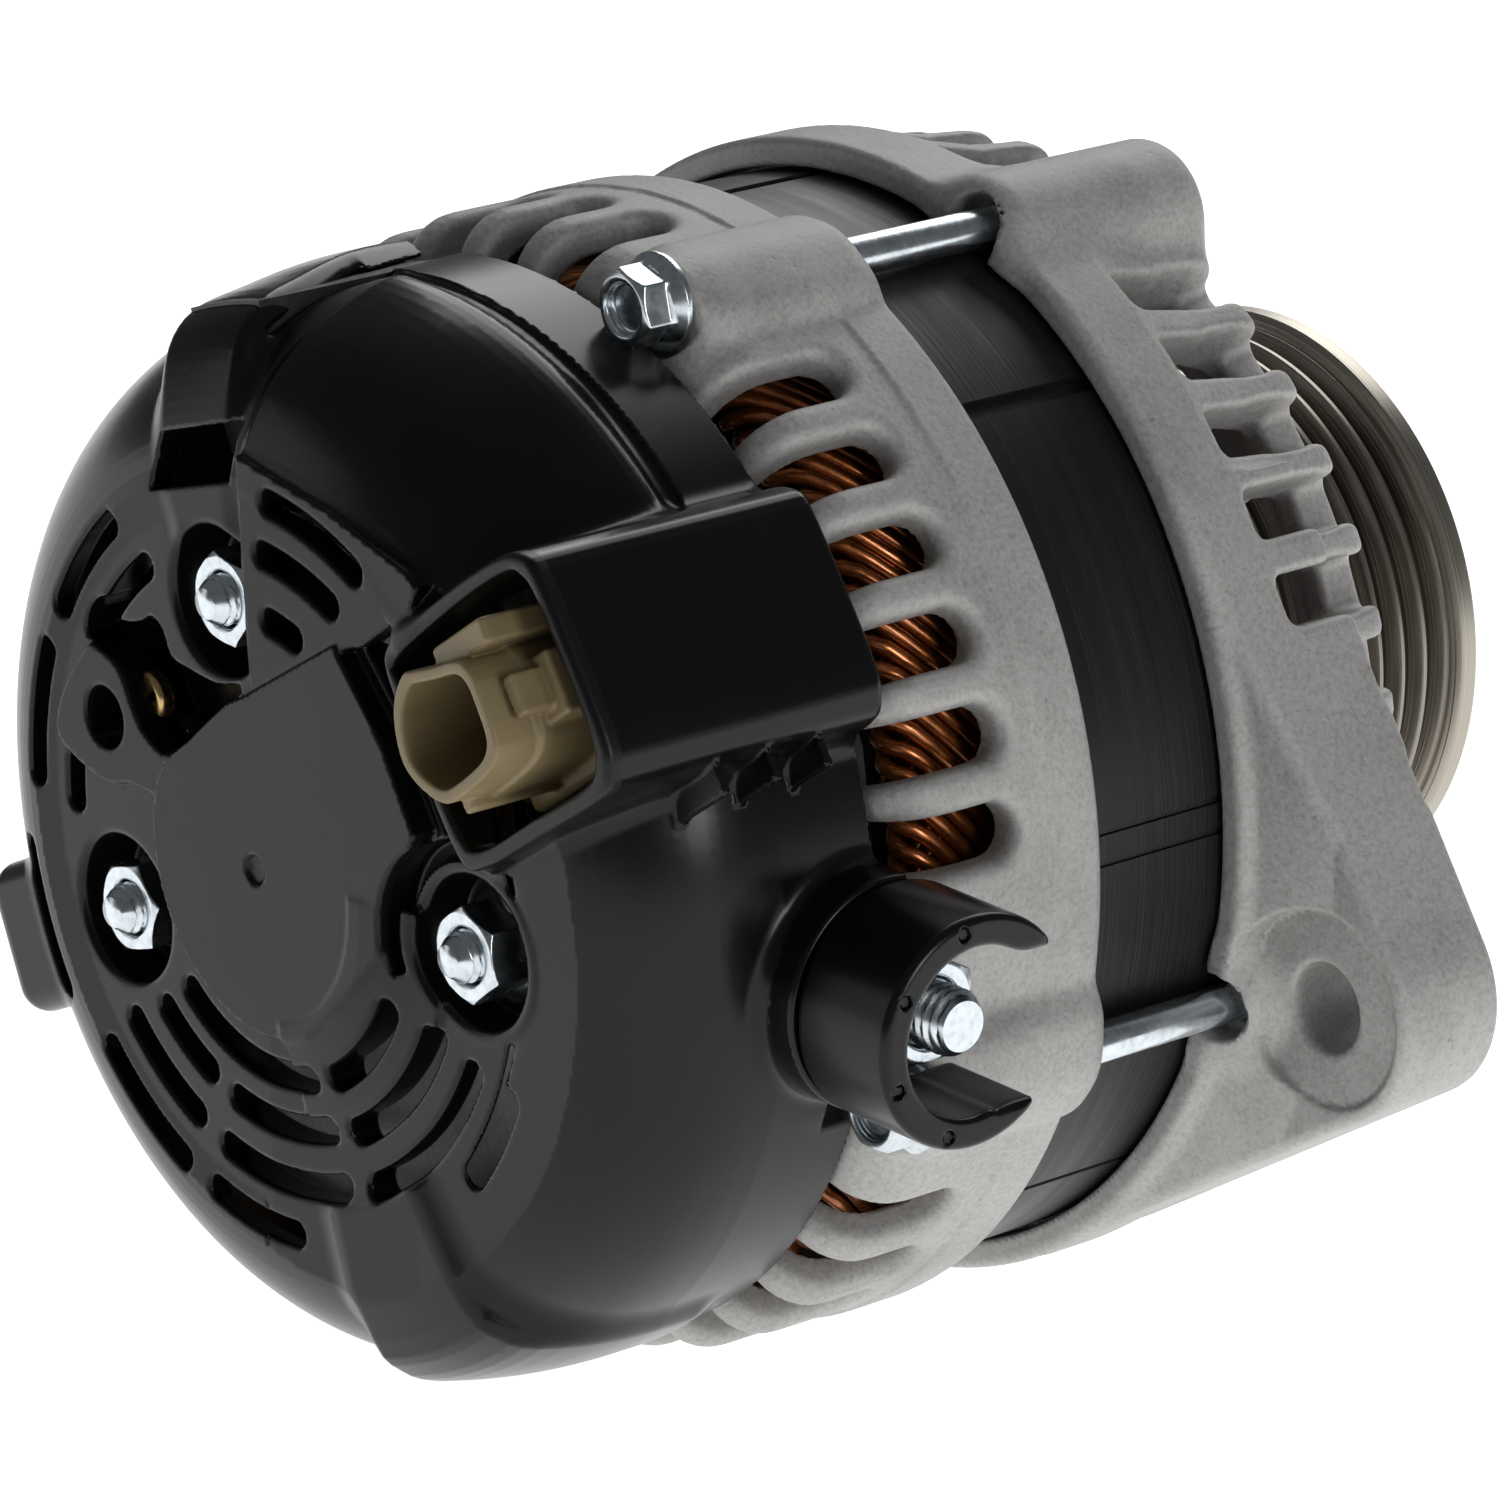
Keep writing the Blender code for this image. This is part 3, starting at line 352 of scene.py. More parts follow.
class Solid:
    """A solid built up by adding and cutting shapes, on a grid and again exactly at any point."""

    def __init__(self, lo, hi, cell):
        self.cell = cell * 1.0
        self.axes = [np.arange(a - 2 * self.cell, b + 3 * self.cell, self.cell, dtype=np.float32)
                     for a, b in zip(lo, hi)]
        self.d = np.full([len(a) for a in self.axes], 50.0, np.float32)
        self.steps = []

    def add(self, shape, fillet=0.0):
        return self._step(shape, fillet, False)

    def cut(self, shape, fillet=0.0):
        return self._step(shape, fillet, True)

    def _step(self, shape, fillet, cutting):
        pad = fillet + 2.5 * self.cell
        lo, hi = shape.lo - pad, shape.hi + pad
        self.steps.append((shape.distance, lo, hi, fillet, cutting))
        near = tuple(slice(*np.searchsorted(a, (l, h))) for a, l, h in zip(self.axes, lo, hi))
        x, s, z = (a[n] for a, n in zip(self.axes, near))
        if min(len(x), len(s), len(z)) == 0:
            return self
        new = shape.distance(x[:, None, None], s[None, :, None], z[None, None, :])
        self.d[near] = self._mix(self.d[near], new, fillet, cutting)
        return self

    @staticmethod
    def _mix(old, new, fillet, cutting):
        return -blended(-old, new, fillet) if cutting else blended(old, new, fillet)

    def at(self, p):
        d = np.full(len(p), 50.0)
        for distance, lo, hi, fillet, cutting in self.steps:
            near = np.nonzero(np.all((p >= lo) & (p <= hi), axis=1))[0]
            if len(near):
                q = p[near]
                d[near] = self._mix(d[near], distance(q[:, 0], q[:, 1], q[:, 2]), fillet, cutting)
        return d

    def slope(self, p, h=0.04):
        """Distance and its gradient at the points p."""
        value, grad = 0.0, 0.0
        for k in ((1, -1, -1), (-1, -1, 1), (-1, 1, -1), (1, 1, 1)):
            k = np.array(k, float)
            d = self.at(p + h * k)
            value = value + d / 4
            grad = grad + d[:, None] * k / (4 * h)
        return value, grad

    def surface(self):
        """One vertex in each cell that the surface crosses, and a quad on each crossed grid edge."""
        d = self.d
        inside = d < 0
        n = [k - 1 for k in d.shape]
        count = sum(inside[i:i + n[0], j:j + n[1], k:k + n[2]].astype(np.int8)
                    for i in (0, 1) for j in (0, 1) for k in (0, 1))
        cells = np.stack(np.nonzero((count > 0) & (count < 8)), axis=1)
        number = np.full(n, -1, np.int32)
        number[tuple(cells.T)] = np.arange(len(cells))
        total = np.zeros((len(cells), 3))
        hits = np.zeros(len(cells))
        for axis in range(3):
            step = np.eye(3, dtype=int)[axis]
            others = [np.eye(3, dtype=int)[k] for k in range(3) if k != axis]
            for j in (0, 1):
                for k in (0, 1):
                    start = cells + j * others[0] + k * others[1]
                    a = d[tuple(start.T)]
                    b = d[tuple((start + step).T)]
                    cross = (a < 0) != (b < 0)
                    t = np.where(cross, a / np.where(cross, a - b, 1.0), 0.0)
                    total += np.where(cross[:, None], start - cells + t[:, None] * step, 0.0)
                    hits += cross
        origin = np.array([a[0] for a in self.axes])
        points = origin + self.cell * (cells + total / hits[:, None])
        faces = []
        for axis in range(3):
            a, b = [k for k in range(3) if k != axis]
            first = inside[tuple(slice(0, -1) if k == axis else slice(None) for k in range(3))]
            second = inside[tuple(slice(1, None) if k == axis else slice(None) for k in range(3))]
            for flag, flip in ((first & ~second, False), (~first & second, True)):
                e = np.stack(np.nonzero(flag), axis=1)
                ok = np.all((e > 0) & (e < np.array(n)), axis=1)
                e = e[ok]
                ring = []
                for da, db in ((0, 0), (-1, 0), (-1, -1), (0, -1)):
                    c = e.copy()
                    c[:, a] += da
                    c[:, b] += db
                    ring.append(number[tuple(c.T)])
                quad = np.stack(ring, axis=1)
                if flip != (axis == 1):
                    quad = quad[:, ::-1]
                faces.append(quad)
        return points, np.concatenate(faces)

    def settle(self, p, rounds=2):
        """Moves points onto the exact surface."""
        for _ in range(rounds):
            value, grad = self.slope(p)
            size = np.maximum((grad ** 2).sum(1), 0.3)
            move = (value / size)[:, None] * grad
            far = np.sqrt((move ** 2).sum(1))
            p = p - move * np.minimum(1, 0.5 * self.cell / np.maximum(far, 1e-9))[:, None]
        return p

    def build(self, name, triangles):
        """The finished mesh object, thinned to about that many triangles."""
        points, quads = self.surface()
        ob = mesh_object(name, points, quads)
        share = triangles / (2 * len(quads))
        if share < 1:
            thin = ob.modifiers.new("thin", "DECIMATE")
            thin.ratio = share
            apply_modifiers(ob)
        me = ob.data
        co = np.zeros(len(me.vertices) * 3, np.float32)
        me.vertices.foreach_get("co", co)
        p = from_world(co.reshape(-1, 3).astype(float))
        p = self.settle(p)
        me.vertices.foreach_set("co", to_world(p).astype(np.float32).ravel())
        _, grad = self.slope(p)
        grad /= np.maximum(np.sqrt((grad ** 2).sum(1)), 1e-9)[:, None]
        me.update()
        me.shade_smooth()
        me.normals_split_custom_set_from_vertices(grad.tolist())
        return ob


# ------------------------------------------------------------------ mesh helpers
def to_world(p):
    return (np.asarray(p, float) + (0, STATION_0 / MM, 0)) * MM


def from_world(p):
    return np.asarray(p, float) / MM - (0, STATION_0 / MM, 0)


def mesh_object(name, points, faces):
    """Object from points in mm and faces that all have the same number of corners."""
    faces = np.asarray(faces, np.int32)
    me = bpy.data.meshes.new(name)
    me.vertices.add(len(points))
    me.vertices.foreach_set("co", to_world(points).astype(np.float32).ravel())
    me.loops.add(faces.size)
    me.loops.foreach_set("vertex_index", faces.ravel())
    me.polygons.add(len(faces))
    me.polygons.foreach_set("loop_start", np.arange(0, faces.size, faces.shape[1], dtype=np.int32))
    me.update(calc_edges=True)
    me.validate()
    ob = bpy.data.objects.new(name, me)
    bpy.context.scene.collection.objects.link(ob)
    return ob


def apply_modifiers(ob):
    graph = bpy.context.evaluated_depsgraph_get()
    graph.update()
    new = bpy.data.meshes.new_from_object(ob.evaluated_get(graph))
    old = ob.data
    ob.modifiers.clear()
    ob.data = new
    bpy.data.meshes.remove(old)


def polygon_object(name, points, faces, smooth_below=30.0):
    """Object from mixed faces, with smooth shading across edges below an angle."""
    me = bpy.data.meshes.new(name)
    me.from_pydata([tuple(p) for p in to_world(points)], [], [tuple(map(int, f)) for f in faces])
    me.validate()
    me.update()
    me.shade_smooth()
    me.set_sharp_from_angle(angle=math.radians(smooth_below))
    ob = bpy.data.objects.new(name, me)
    bpy.context.scene.collection.objects.link(ob)
    return ob


def lathe(name, profile, steps=96, along="s", centre=(0.0, 0.0, 0.0), radius_at=None, smooth_below=30.0):
    """Closed turned mesh. profile is (radius, place) pairs, with radius 0 only at its two ends; the
    outline runs so that the solid is on its left. radius_at(angle, r, place) may shape it further."""
    pts, faces = [], []
    rings = []
    for r, place in profile:
        if r <= 0:
            rings.append([len(pts)] * steps)
            pts.append(turn_point(0, 0, place, along, centre))
            continue
        ring = []
        for k in range(steps):
            a = 2 * math.pi * k / steps
            rr = radius_at(a, r, place) if radius_at else r
            ring.append(len(pts))
            pts.append(turn_point(rr * math.cos(a), rr * math.sin(a), place, along, centre))
        rings.append(ring)
    pairs = list(zip(rings, rings[1:]))
    if profile[0][0] > 0:
        pairs.append((rings[-1], rings[0]))
    for a, b in pairs:
        for k in range(steps):
            m = (k + 1) % steps
            quad = [a[k], a[m], b[m], b[k]]
            quad = [q for i, q in enumerate(quad) if q not in quad[:i]]
            if len(quad) > 2:
                faces.append(quad)
    return outward(polygon_object(name, pts, faces, smooth_below))


def turn_point(a, b, place, along, centre):
    if along == "s":
        return centre[0] + a, centre[1] + place, centre[2] + b
    return centre[0] + place, centre[1] + a, centre[2] + b


def outward(ob):
    """Turns the faces of a closed mesh outwards, judged by its volume."""
    me = ob.data
    me.calc_loop_triangles()
    co = np.zeros(len(me.vertices) * 3)
    me.vertices.foreach_get("co", co)
    co = co.reshape(-1, 3)
    tri = np.zeros(len(me.loop_triangles) * 3, np.int32)
    me.loop_triangles.foreach_get("vertices", tri)
    a, b, c = (co[tri.reshape(-1, 3)[:, k]] for k in range(3))
    if (a * np.cross(b, c)).sum() < 0:
        me.flip_normals()
    return ob


def tube(path, radius, sides):
    """Points and quads of a round bar along a path in mm, open at both ends."""
    path = np.asarray(path, float)
    tangent = np.gradient(path, axis=0)
    tangent /= np.linalg.norm(tangent, axis=1)[:, None]
    pts = []
    side = np.cross(tangent[0], (0.3, 0.2, 0.93))
    for p, t in zip(path, tangent):
        side = side - t * (side @ t)
        side /= np.linalg.norm(side)
        up = np.cross(t, side)
        for k in range(sides):
            a = 2 * math.pi * k / sides
            pts.append(p + radius * (math.cos(a) * side + math.sin(a) * up))
    quads = []
    for i in range(len(path) - 1):
        for k in range(sides):
            m = (k + 1) % sides
            quads.append((i * sides + k, i * sides + m, (i + 1) * sides + m, (i + 1) * sides + k))
    return pts, quads


# ------------------------------------------------------------------ materials
class Look:
    """A material's nodes, all read in the object's own coordinates."""

    def __init__(self, name, **sockets):
        self.m = bpy.data.materials.new(name)
        self.m.use_nodes = True
        self.nt = self.m.node_tree
        self.bsdf = self.nt.nodes["Principled BSDF"]
        for key, value in sockets.items():
            self.bsdf.inputs[key.replace("_", " ")].default_value = value
        self.coords = self.nt.nodes.new("ShaderNodeTexCoord").outputs["Object"]
        self.normal = None

    def link(self, source, socket):
        self.nt.links.new(source, self.bsdf.inputs[socket])

    def mapped(self, scale):
        node = self.nt.nodes.new("ShaderNodeMapping")
        node.inputs["Scale"].default_value = scale
        self.nt.links.new(self.coords, node.inputs["Vector"])
        return node.outputs["Vector"]

    def noise(self, scale, detail=4.0, roughness=0.55, stretch=None):
        node = self.nt.nodes.new("ShaderNodeTexNoise")
        node.inputs["Scale"].default_value = scale
        node.inputs["Detail"].default_value = detail
        node.inputs["Roughness"].default_value = roughness
        self.nt.links.new(self.mapped(stretch) if stretch else self.coords, node.inputs["Vector"])
        return node.outputs["Fac"]

    def cells(self, scale, stretch=None):
        node = self.nt.nodes.new("ShaderNodeTexVoronoi")
        node.inputs["Scale"].default_value = scale
        self.nt.links.new(self.mapped(stretch) if stretch else self.coords, node.inputs["Vector"])
        return node.outputs["Distance"]

    def ramp(self, source, *stops):
        """Maps a value through (place, grey or colour) stops."""
        node = self.nt.nodes.new("ShaderNodeValToRGB")
        elements = node.color_ramp.elements
        while len(elements) < len(stops):
            elements.new(0.5)
        for e, (place, value) in zip(elements, stops):
            e.position = place
            e.color = (value, value, value, 1) if isinstance(value, (int, float)) else (*value, 1)
        self.nt.links.new(source, node.inputs["Fac"])
        return node.outputs["Color"]

    def mix(self, a, b, factor, mode="MIX"):
        node = self.nt.nodes.new("ShaderNodeMix")
        node.data_type = "RGBA"
        node.blend_type = mode
        for socket, value in ((node.inputs["Factor"], factor), (node.inputs[6], a), (node.inputs[7], b)):
            if isinstance(value, (int, float)):
                socket.default_value = value
            else:
                self.nt.links.new(value, socket)
        return node.outputs[2]

    def math(self, operation, a, b=None, c=None):
        node = self.nt.nodes.new("ShaderNodeMath")
        node.operation = operation
        for socket, value in zip(node.inputs, (a, b, c)):
            if isinstance(value, (int, float)):
                socket.default_value = value
            elif value is not None:
                self.nt.links.new(value, socket)
        return node.outputs["Value"]

    def axis(self, name):
        node = self.nt.nodes.new("ShaderNodeSeparateXYZ")
        self.nt.links.new(self.coords, node.inputs["Vector"])
        return node.outputs[name]

    def bump(self, height, strength, distance):
        node = self.nt.nodes.new("ShaderNodeBump")
        node.inputs["Strength"].default_value = strength
        node.inputs["Distance"].default_value = distance
        self.nt.links.new(height, node.inputs["Height"])
        if self.normal is not None:
            self.nt.links.new(self.normal, node.inputs["Normal"])
        self.normal = node.outputs["Normal"]
        self.link(self.normal, "Normal")


def cast_aluminium():
    """Sand-textured die casting: pale warm grey, with small pits, stains and a dull soft gloss."""
    look = Look("cast_aluminium", Metallic=0.35, Specular_IOR_Level=0.5)
    grain = look.noise(1500.0, 6.0, 0.7)
    patch = look.noise(70.0, 5.0, 0.6)
    tone = look.ramp(grain, (0.25, (0.30, 0.296, 0.285)), (0.5, (0.45, 0.444, 0.43)),
                     (0.8, (0.58, 0.572, 0.557)))
    shade = look.ramp(patch, (0.3, 0.80), (0.5, 0.96), (0.7, 1.0))
    colour = look.mix(tone, shade, 1.0, "MULTIPLY")
    stains = look.ramp(look.noise(190.0, 7.0, 0.75), (0.66, 1.0), (0.74, 0.35))
    colour = look.mix(colour, stains, 1.0, "MULTIPLY")
    look.link(colour, "Base Color")
    look.link(look.ramp(grain, (0.3, 0.50), (0.7, 0.66)), "Roughness")
    look.bump(look.noise(160.0, 3.0), 0.25, 0.0006)
    look.bump(grain, 0.35, 0.00025)
    look.bump(look.ramp(look.cells(420.0), (0.06, 0.0), (0.16, 1.0)), 0.15, 0.0003)
    return look.m


def black_plastic():
    """Glossy black moulding whose flat rear face is a fine satin grain, with faint handling marks."""
    look = Look("black_plastic", IOR=1.5, Specular_IOR_Level=0.28)
    depth = look.math("SUBTRACT", STATION_0 + COVER_FACE * MM, look.axis("Y"))
    satin = look.math("GREATER_THAN", depth, 0.0)
    scuffs = look.ramp(look.noise(260.0, 6.0, 0.7, (1.0, 0.2, 1.6)), (0.62, 0.0), (0.75, 1.0))
    cloud = look.noise(45.0, 4.0, 0.6)
    black = look.ramp(cloud, (0.3, (0.0030, 0.0030, 0.0032)), (0.7, (0.0048, 0.0048, 0.0050)))
    look.link(black, "Base Color")
    smooth_gloss = look.math("MULTIPLY_ADD", scuffs, 0.10, 0.20)
    cloudy = look.math("MULTIPLY_ADD", cloud, 0.08, smooth_gloss)
    look.link(look.math("MULTIPLY_ADD", satin, 0.14, cloudy), "Roughness")
    grain = look.noise(2600.0, 3.0, 0.6)
    look.bump(look.math("MULTIPLY", grain, look.math("MULTIPLY_ADD", satin, 0.8, 0.2)), 0.12, 0.0001)
    look.bump(look.noise(120.0, 2.0), 0.06, 0.0006)
    return look.m


def lamination_steel():
    """Black-lacquered steel stack: the sheet edges make fine lines around it, some scratched bare."""
    look = Look("lamination_steel", IOR=1.5, Metallic=0.25)
    sheets = look.noise(1.0, 2.0, 0.6, (6.0, 2600.0, 6.0))
    broad = look.noise(1.0, 3.0, 0.6, (20.0, 260.0, 20.0))
    scratch = look.ramp(look.noise(1.0, 4.0, 0.7, (55.0, 1500.0, 55.0)), (0.70, 0.0), (0.78, 1.0))
    tone = look.ramp(sheets, (0.3, (0.005, 0.005, 0.006)), (0.7, (0.012, 0.012, 0.014)))
    look.link(look.mix(tone, look.ramp(scratch, (0.0, 0.0), (1.0, 0.10)), 0.5, "ADD"), "Base Color")
    look.link(look.ramp(broad, (0.3, 0.34), (0.7, 0.50)), "Roughness")
    look.bump(sheets, 0.30, 0.00025)
    look.bump(broad, 0.2, 0.0004)
    return look.m


def plated(name, colour, rough, lines=None):
    """Bright metal: even plating with faint mottling, or fine turning lines about an axis."""
    look = Look(name, Metallic=1.0)
    fine = look.noise(900.0, 4.0, 0.6)
    dark = tuple(0.72 * c for c in colour)
    look.link(look.ramp(fine, (0.25, dark), (0.6, colour)), "Base Color")
    look.link(look.ramp(look.noise(350.0, 3.0), (0.3, rough * 0.75), (0.7, rough * 1.35)), "Roughness")
    look.bump(fine, 0.08, 0.0001)
    if lines:
        look.bump(look.noise(1.0, 3.0, 0.6, lines), 0.25, 0.0002)
    return look.m


def turned_steel():
    """Lathe-turned pulley: fine rings, painted shade that darkens the grooves and the dished front, and a
    straw tint at the rim.
    """
    look = Look("turned_steel", Metallic=1.0)
    rings = look.noise(1.0, 4.0, 0.65, (3.0, 2300.0, 3.0))
    x, z = look.axis("X"), look.axis("Z")
    radius = look.math("SQRT", look.math("ADD", look.math("MULTIPLY", x, x), look.math("MULTIPLY", z, z)))
    face = look.nt.nodes.new("ShaderNodeTexNoise")
    face.noise_dimensions = "1D"
    face.inputs["Scale"].default_value = 2600.0
    look.nt.links.new(radius, face.inputs["W"])
    # painted shade: the base colour runs from dark at the groove floors and over the dished front to light at
    # the rib tops and rim, in place of the shade in these hollows
    groove_shade_radius, groove_shade_span = 30.8 * MM, 6.0 * MM
    depth = look.math("MULTIPLY_ADD", radius, 1 / groove_shade_span, -groove_shade_radius / groove_shade_span)
    tone = look.ramp(depth, (0.0, (0.10, 0.095, 0.088)), (0.45, (0.26, 0.235, 0.20)),
                     (0.75, (0.46, 0.43, 0.37)), (1.0, (0.55, 0.50, 0.42)))
    streak = look.ramp(rings, (0.3, 0.72), (0.7, 1.0))
    look.link(look.mix(tone, streak, 1.0, "MULTIPLY"), "Base Color")
    look.link(look.ramp(rings, (0.3, 0.26), (0.7, 0.40)), "Roughness")
    look.bump(rings, 0.35, 0.0002)
    look.bump(face.outputs["Fac"], 0.3, 0.0002)
    return look.m


def copper_wire():
    """Enamelled winding wire: deep orange brown with a clear varnish."""
    look = Look("copper_wire", Metallic=0.85, Coat_Weight=0.6, Coat_Roughness=0.12)
    tone = look.noise(240.0, 3.0)
    look.link(look.ramp(tone, (0.3, (0.22, 0.060, 0.012)), (0.7, (0.52, 0.17, 0.045))), "Base Color")
    look.link(look.ramp(look.noise(600.0, 3.0), (0.3, 0.22), (0.7, 0.38)), "Roughness")
    look.bump(look.noise(500.0, 2.0), 0.15, 0.0003)
    return look.m


def beige_plastic():
    """Glass-filled nylon of the connector: matt tan with a faint flow pattern."""
    look = Look("beige_plastic", IOR=1.5)
    flow = look.noise(120.0, 5.0, 0.6, (1.0, 0.35, 1.0))
    look.link(look.ramp(flow, (0.3, (0.19, 0.142, 0.068)), (0.7, (0.26, 0.20, 0.10))), "Base Color")
    look.link(look.ramp(flow, (0.3, 0.42), (0.7, 0.56)), "Roughness")
    look.bump(look.noise(1500.0, 4.0), 0.12, 0.00015)
    return look.m


def dull(name, low, high, rough, grain=700.0, metallic=0.0):
    """Dull dark parts: resin, carbon, forged steel."""
    look = Look(name, Metallic=metallic)
    tone = look.noise(grain, 5.0, 0.65)
    look.link(look.ramp(tone, (0.3, low), (0.7, high)), "Base Color")
    look.link(look.ramp(tone, (0.3, rough * 0.85), (0.7, min(1.0, rough * 1.15))), "Roughness")
    look.bump(tone, 0.25, 0.0003)
    return look.m


LOOKS = {
    "cast_aluminium": cast_aluminium(),
    "black_plastic": black_plastic(),
    "lamination_steel": lamination_steel(),
    "zinc_steel": plated("zinc_steel", (0.72, 0.78, 0.82), 0.22),
    "copper_wire": copper_wire(),
    "beige_plastic": beige_plastic(),
    "turned_steel": turned_steel(),
    "bearing_steel": plated("bearing_steel", (0.60, 0.60, 0.60), 0.25, (4.0, 1800.0, 4.0)),
    "brass_contact": plated("brass_contact", (0.72, 0.50, 0.22), 0.28),
    "carbon_brush": dull("carbon_brush", (0.02, 0.02, 0.021), (0.05, 0.05, 0.052), 0.6),
    "dark_resin": dull("dark_resin", (0.012, 0.014, 0.012), (0.028, 0.03, 0.026), 0.45),
    "forged_steel": dull("forged_steel", (0.10, 0.10, 0.10), (0.19, 0.185, 0.18), 0.5, 500.0, 0.8),
}


def finish_piece(ob, body, look, *nodes):
    """Gives a piece its material and its body, and hides the CAD nodes it stands for."""
    ob.data.materials.clear()
    ob.data.materials.append(LOOKS[look])
    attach(ob, body)
    if nodes:
        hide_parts(*nodes)
    return ob


# ------------------------------------------------------------------ rear housing
def rear_housing():
    """Slip-ring end casting: a cup with slots round its shoulder and a pad for each through bolt."""
    wall, corner, behind = 66.0, 8.0, -40.0
    bore, bearing_seat = 61.8, 17.9
    hub, hub_rear = 23.0, -33.0
    solid = Solid((-72, -34, -70), (72, 0, 70), 0.6)
    solid.add(turned([(0, 0)] + arc(FLANGE_R - 1.1, -1.1, 1.1, 90, 0, 5)
                     + [(FLANGE_R, -7.0), (wall, -7.7)]
                     + arc(wall - corner, REAR_WALL + corner, corner, 0, -90, 8)
                     + [(hub, REAR_WALL), (hub, hub_rear), (0, hub_rear)]))
    for angle, _ in BOLTS:
        x, z = at_polar(angle, 62.4)
        solid.add(rod(x, z, 7.8, BOLT_HEAD_AT - 0.4, -0.2, 2.0), 3.0)
        solid.add(radial_box(angle, (52, 68.6), (-7.6, 7.6), (-23.5, -0.2), 3.0), 2.5)
    for k in range(int(360 / RIB_PITCH)):
        mid = RIB_START + RIB_PITCH * k
        if off_bolts(mid, 11.5):
            solid.cut(radial_box(mid, (50, 76), RIB_GAP, (behind, -11.6), corner=3.0), 2.2)
    solid.cut(turned([(0, 6), (63.9, 6), (63.9, -3.3), (bore, -3.3), (bore, -18.0)]
                     + arc(bore - 6.0, -18.5, 6.0, 0, -90, 5)
                     + [(23.5, -24.5), (23.5, -20.0), (bearing_seat, -20.0), (bearing_seat, behind),
                        (0, behind)]), 0.4)
    for k in range(6):
        mid = 30 + 60 * k
        solid.cut(sector(28.5, 46.0, mid - 19, mid + 19, -32, -22, 3.0), 0.8)
    for angle, radius in BOLTS:
        x, z = at_polar(angle, radius)
        solid.cut(rod(x, z, 6.3, behind, BOLT_HEAD_AT + 0.3, 0.2), 0.5)
        solid.cut(rod(x, z, BOLT_BORE, behind, 6, 0.1), 0.3)
    ob = solid.build("rear_housing_casting", 120000)
    finish_piece(ob, "housing", "cast_aluminium", "rear_housing")


# ------------------------------------------------------------------ front housing
def add_ear(solid):
    """The pivot ear: it leaves the lip along two tangents and ends round its bolt hole."""
    near, root, overlap = LIP_R - 0.5, 58.0, 2.0
    lean = math.degrees(math.atan2(EAR_Z, EAR_X))
    spread = math.degrees(math.acos((near - EAR_R) / math.hypot(EAR_X, EAR_Z)))
    low, high = lean - spread, lean + spread
    outline = Table(arc(EAR_X, EAR_Z, EAR_R, low, high, 20)
                    + arc(0, 0, near, high, high + overlap, 2)
                    + arc(0, 0, root, high + overlap, low - overlap, 14)
                    + arc(0, 0, near, low - overlap, low, 2))

    def plate(x, s, z):
        """The rear face rises from the lip to the boss."""
        beyond = np.maximum(around(x, z) - 66.0, 0.0)
        rear = np.minimum(EAR_REAR, LIP_REAR + 0.9 + 0.3 * beyond)
        return rounded([outline(x, z), rear - s, s - EAR_FRONT], 1.4)

    lo = (20.0, LIP_REAR - 1.0, -69.0)
    hi = (EAR_X + EAR_R, EAR_FRONT + 1.0, 69.0)
    solid.add(Shape(plate, lo, hi), 1.4)
    # a shallow web on the front face, between the boss, the ear's two edges and the lip
    web = (arc(0, 0, 70.5, high - 26, low + 26, 10)
           + [(EAR_X - 6.0, EAR_Z - 9.5), (EAR_X + 0.5, EAR_Z + 8.8)])
    solid.cut(slab(web, EAR_FRONT - 4.0, EAR_FRONT + 8.0, 0.6), 2.0)
    # the boss stands proud in front, and is spot-faced behind
    solid.add(rod(EAR_X, EAR_Z, 11.2, EAR_REAR + 2.0, EAR_FRONT + 1.0, 0.6), 0.8)
    solid.cut(rod(EAR_X, EAR_Z, 11.4, 10.0, EAR_REAR + 0.4, 0.3), 0.6)


def front_housing():
    """Drive end casting: fins round its shoulder, eight windows in its face, and the pivot ear."""
    front, bearing_seat = 70.0, 23.5
    solid = Solid((-72, 18, -70), (90, 61, 70), 0.62)
    solid.add(turned([(0, 56.0), (29.5, 56.0), (31.5, 53.5), (33.0, 50.9), (55.0, 50.6)]
                     + arc(59.8, 44.6, 4.2, 90, 8, 6)
                     + [(64.7, 38.0), (66.3, 31.5), (LIP_R, 28.6)]
                     + arc(LIP_R - 1.2, LIP_REAR + 1.2, 1.2, 0, -90, 5) + [(0, LIP_REAR)]))
    add_ear(solid)
    # pockets between the fins, and a window at the foot of each where the ear leaves room
    for k in range(FIN_COUNT):
        mid = FIN_START - FIN_PITCH * (k + 0.5)
        if off_bolts(mid, 10.0):
            solid.cut(radial_box(mid, (58.2, 80), FIN_GAP, (38.6, front), 1.4), 1.2)
            if not -57.0 < mid < 19.0:
                solid.cut(radial_box(mid, (50, 80), FIN_GAP, (29.8, 44.4), corner=1.4), 1.2)
    for angle, _ in BOLTS:
        x, z = at_polar(angle, 62.6)
        solid.add(rod(x, z, 8.8, LIP_REAR, 49.6, 3.5), 3.0)
    solid.cut(turned([(0, front), (20.0, front), (20.0, 54.0), (bearing_seat, 54.0), (bearing_seat, 40.3),
                      (31.0, 40.3), (31.0, 46.0), (51.0, 46.0), (55.0, 44.0), (58.0, 38.0),
                      (60.5, CORE_FRONT + 0.3), (CORE_R + 0.5, CORE_FRONT + 0.3), (CORE_R + 0.5, 10.0),
                      (0, 10.0)]), 0.5)
    for k in range(8):
        mid = 22.5 + 45 * k
        solid.cut(sector(37.0, 50.0, mid - 16, mid + 16, 43, 60, 3.0), 1.0)
    for angle, radius in BOLTS:
        x, z = at_polar(angle, radius)
        solid.cut(rod(x, z, 4.0, 10, LIP_REAR + 4.0, 1.0), 0.5)
        solid.cut(rod(x, z, BOLT_BORE, 10, 43.5, 0.2), 0.2)
    solid.cut(rod(EAR_X, EAR_Z, EAR_HOLE, 15, 48, 0.0), 1.0)
    ob = solid.build("front_housing_casting", 150000)
    finish_piece(ob, "housing", "cast_aluminium", "front_housing")


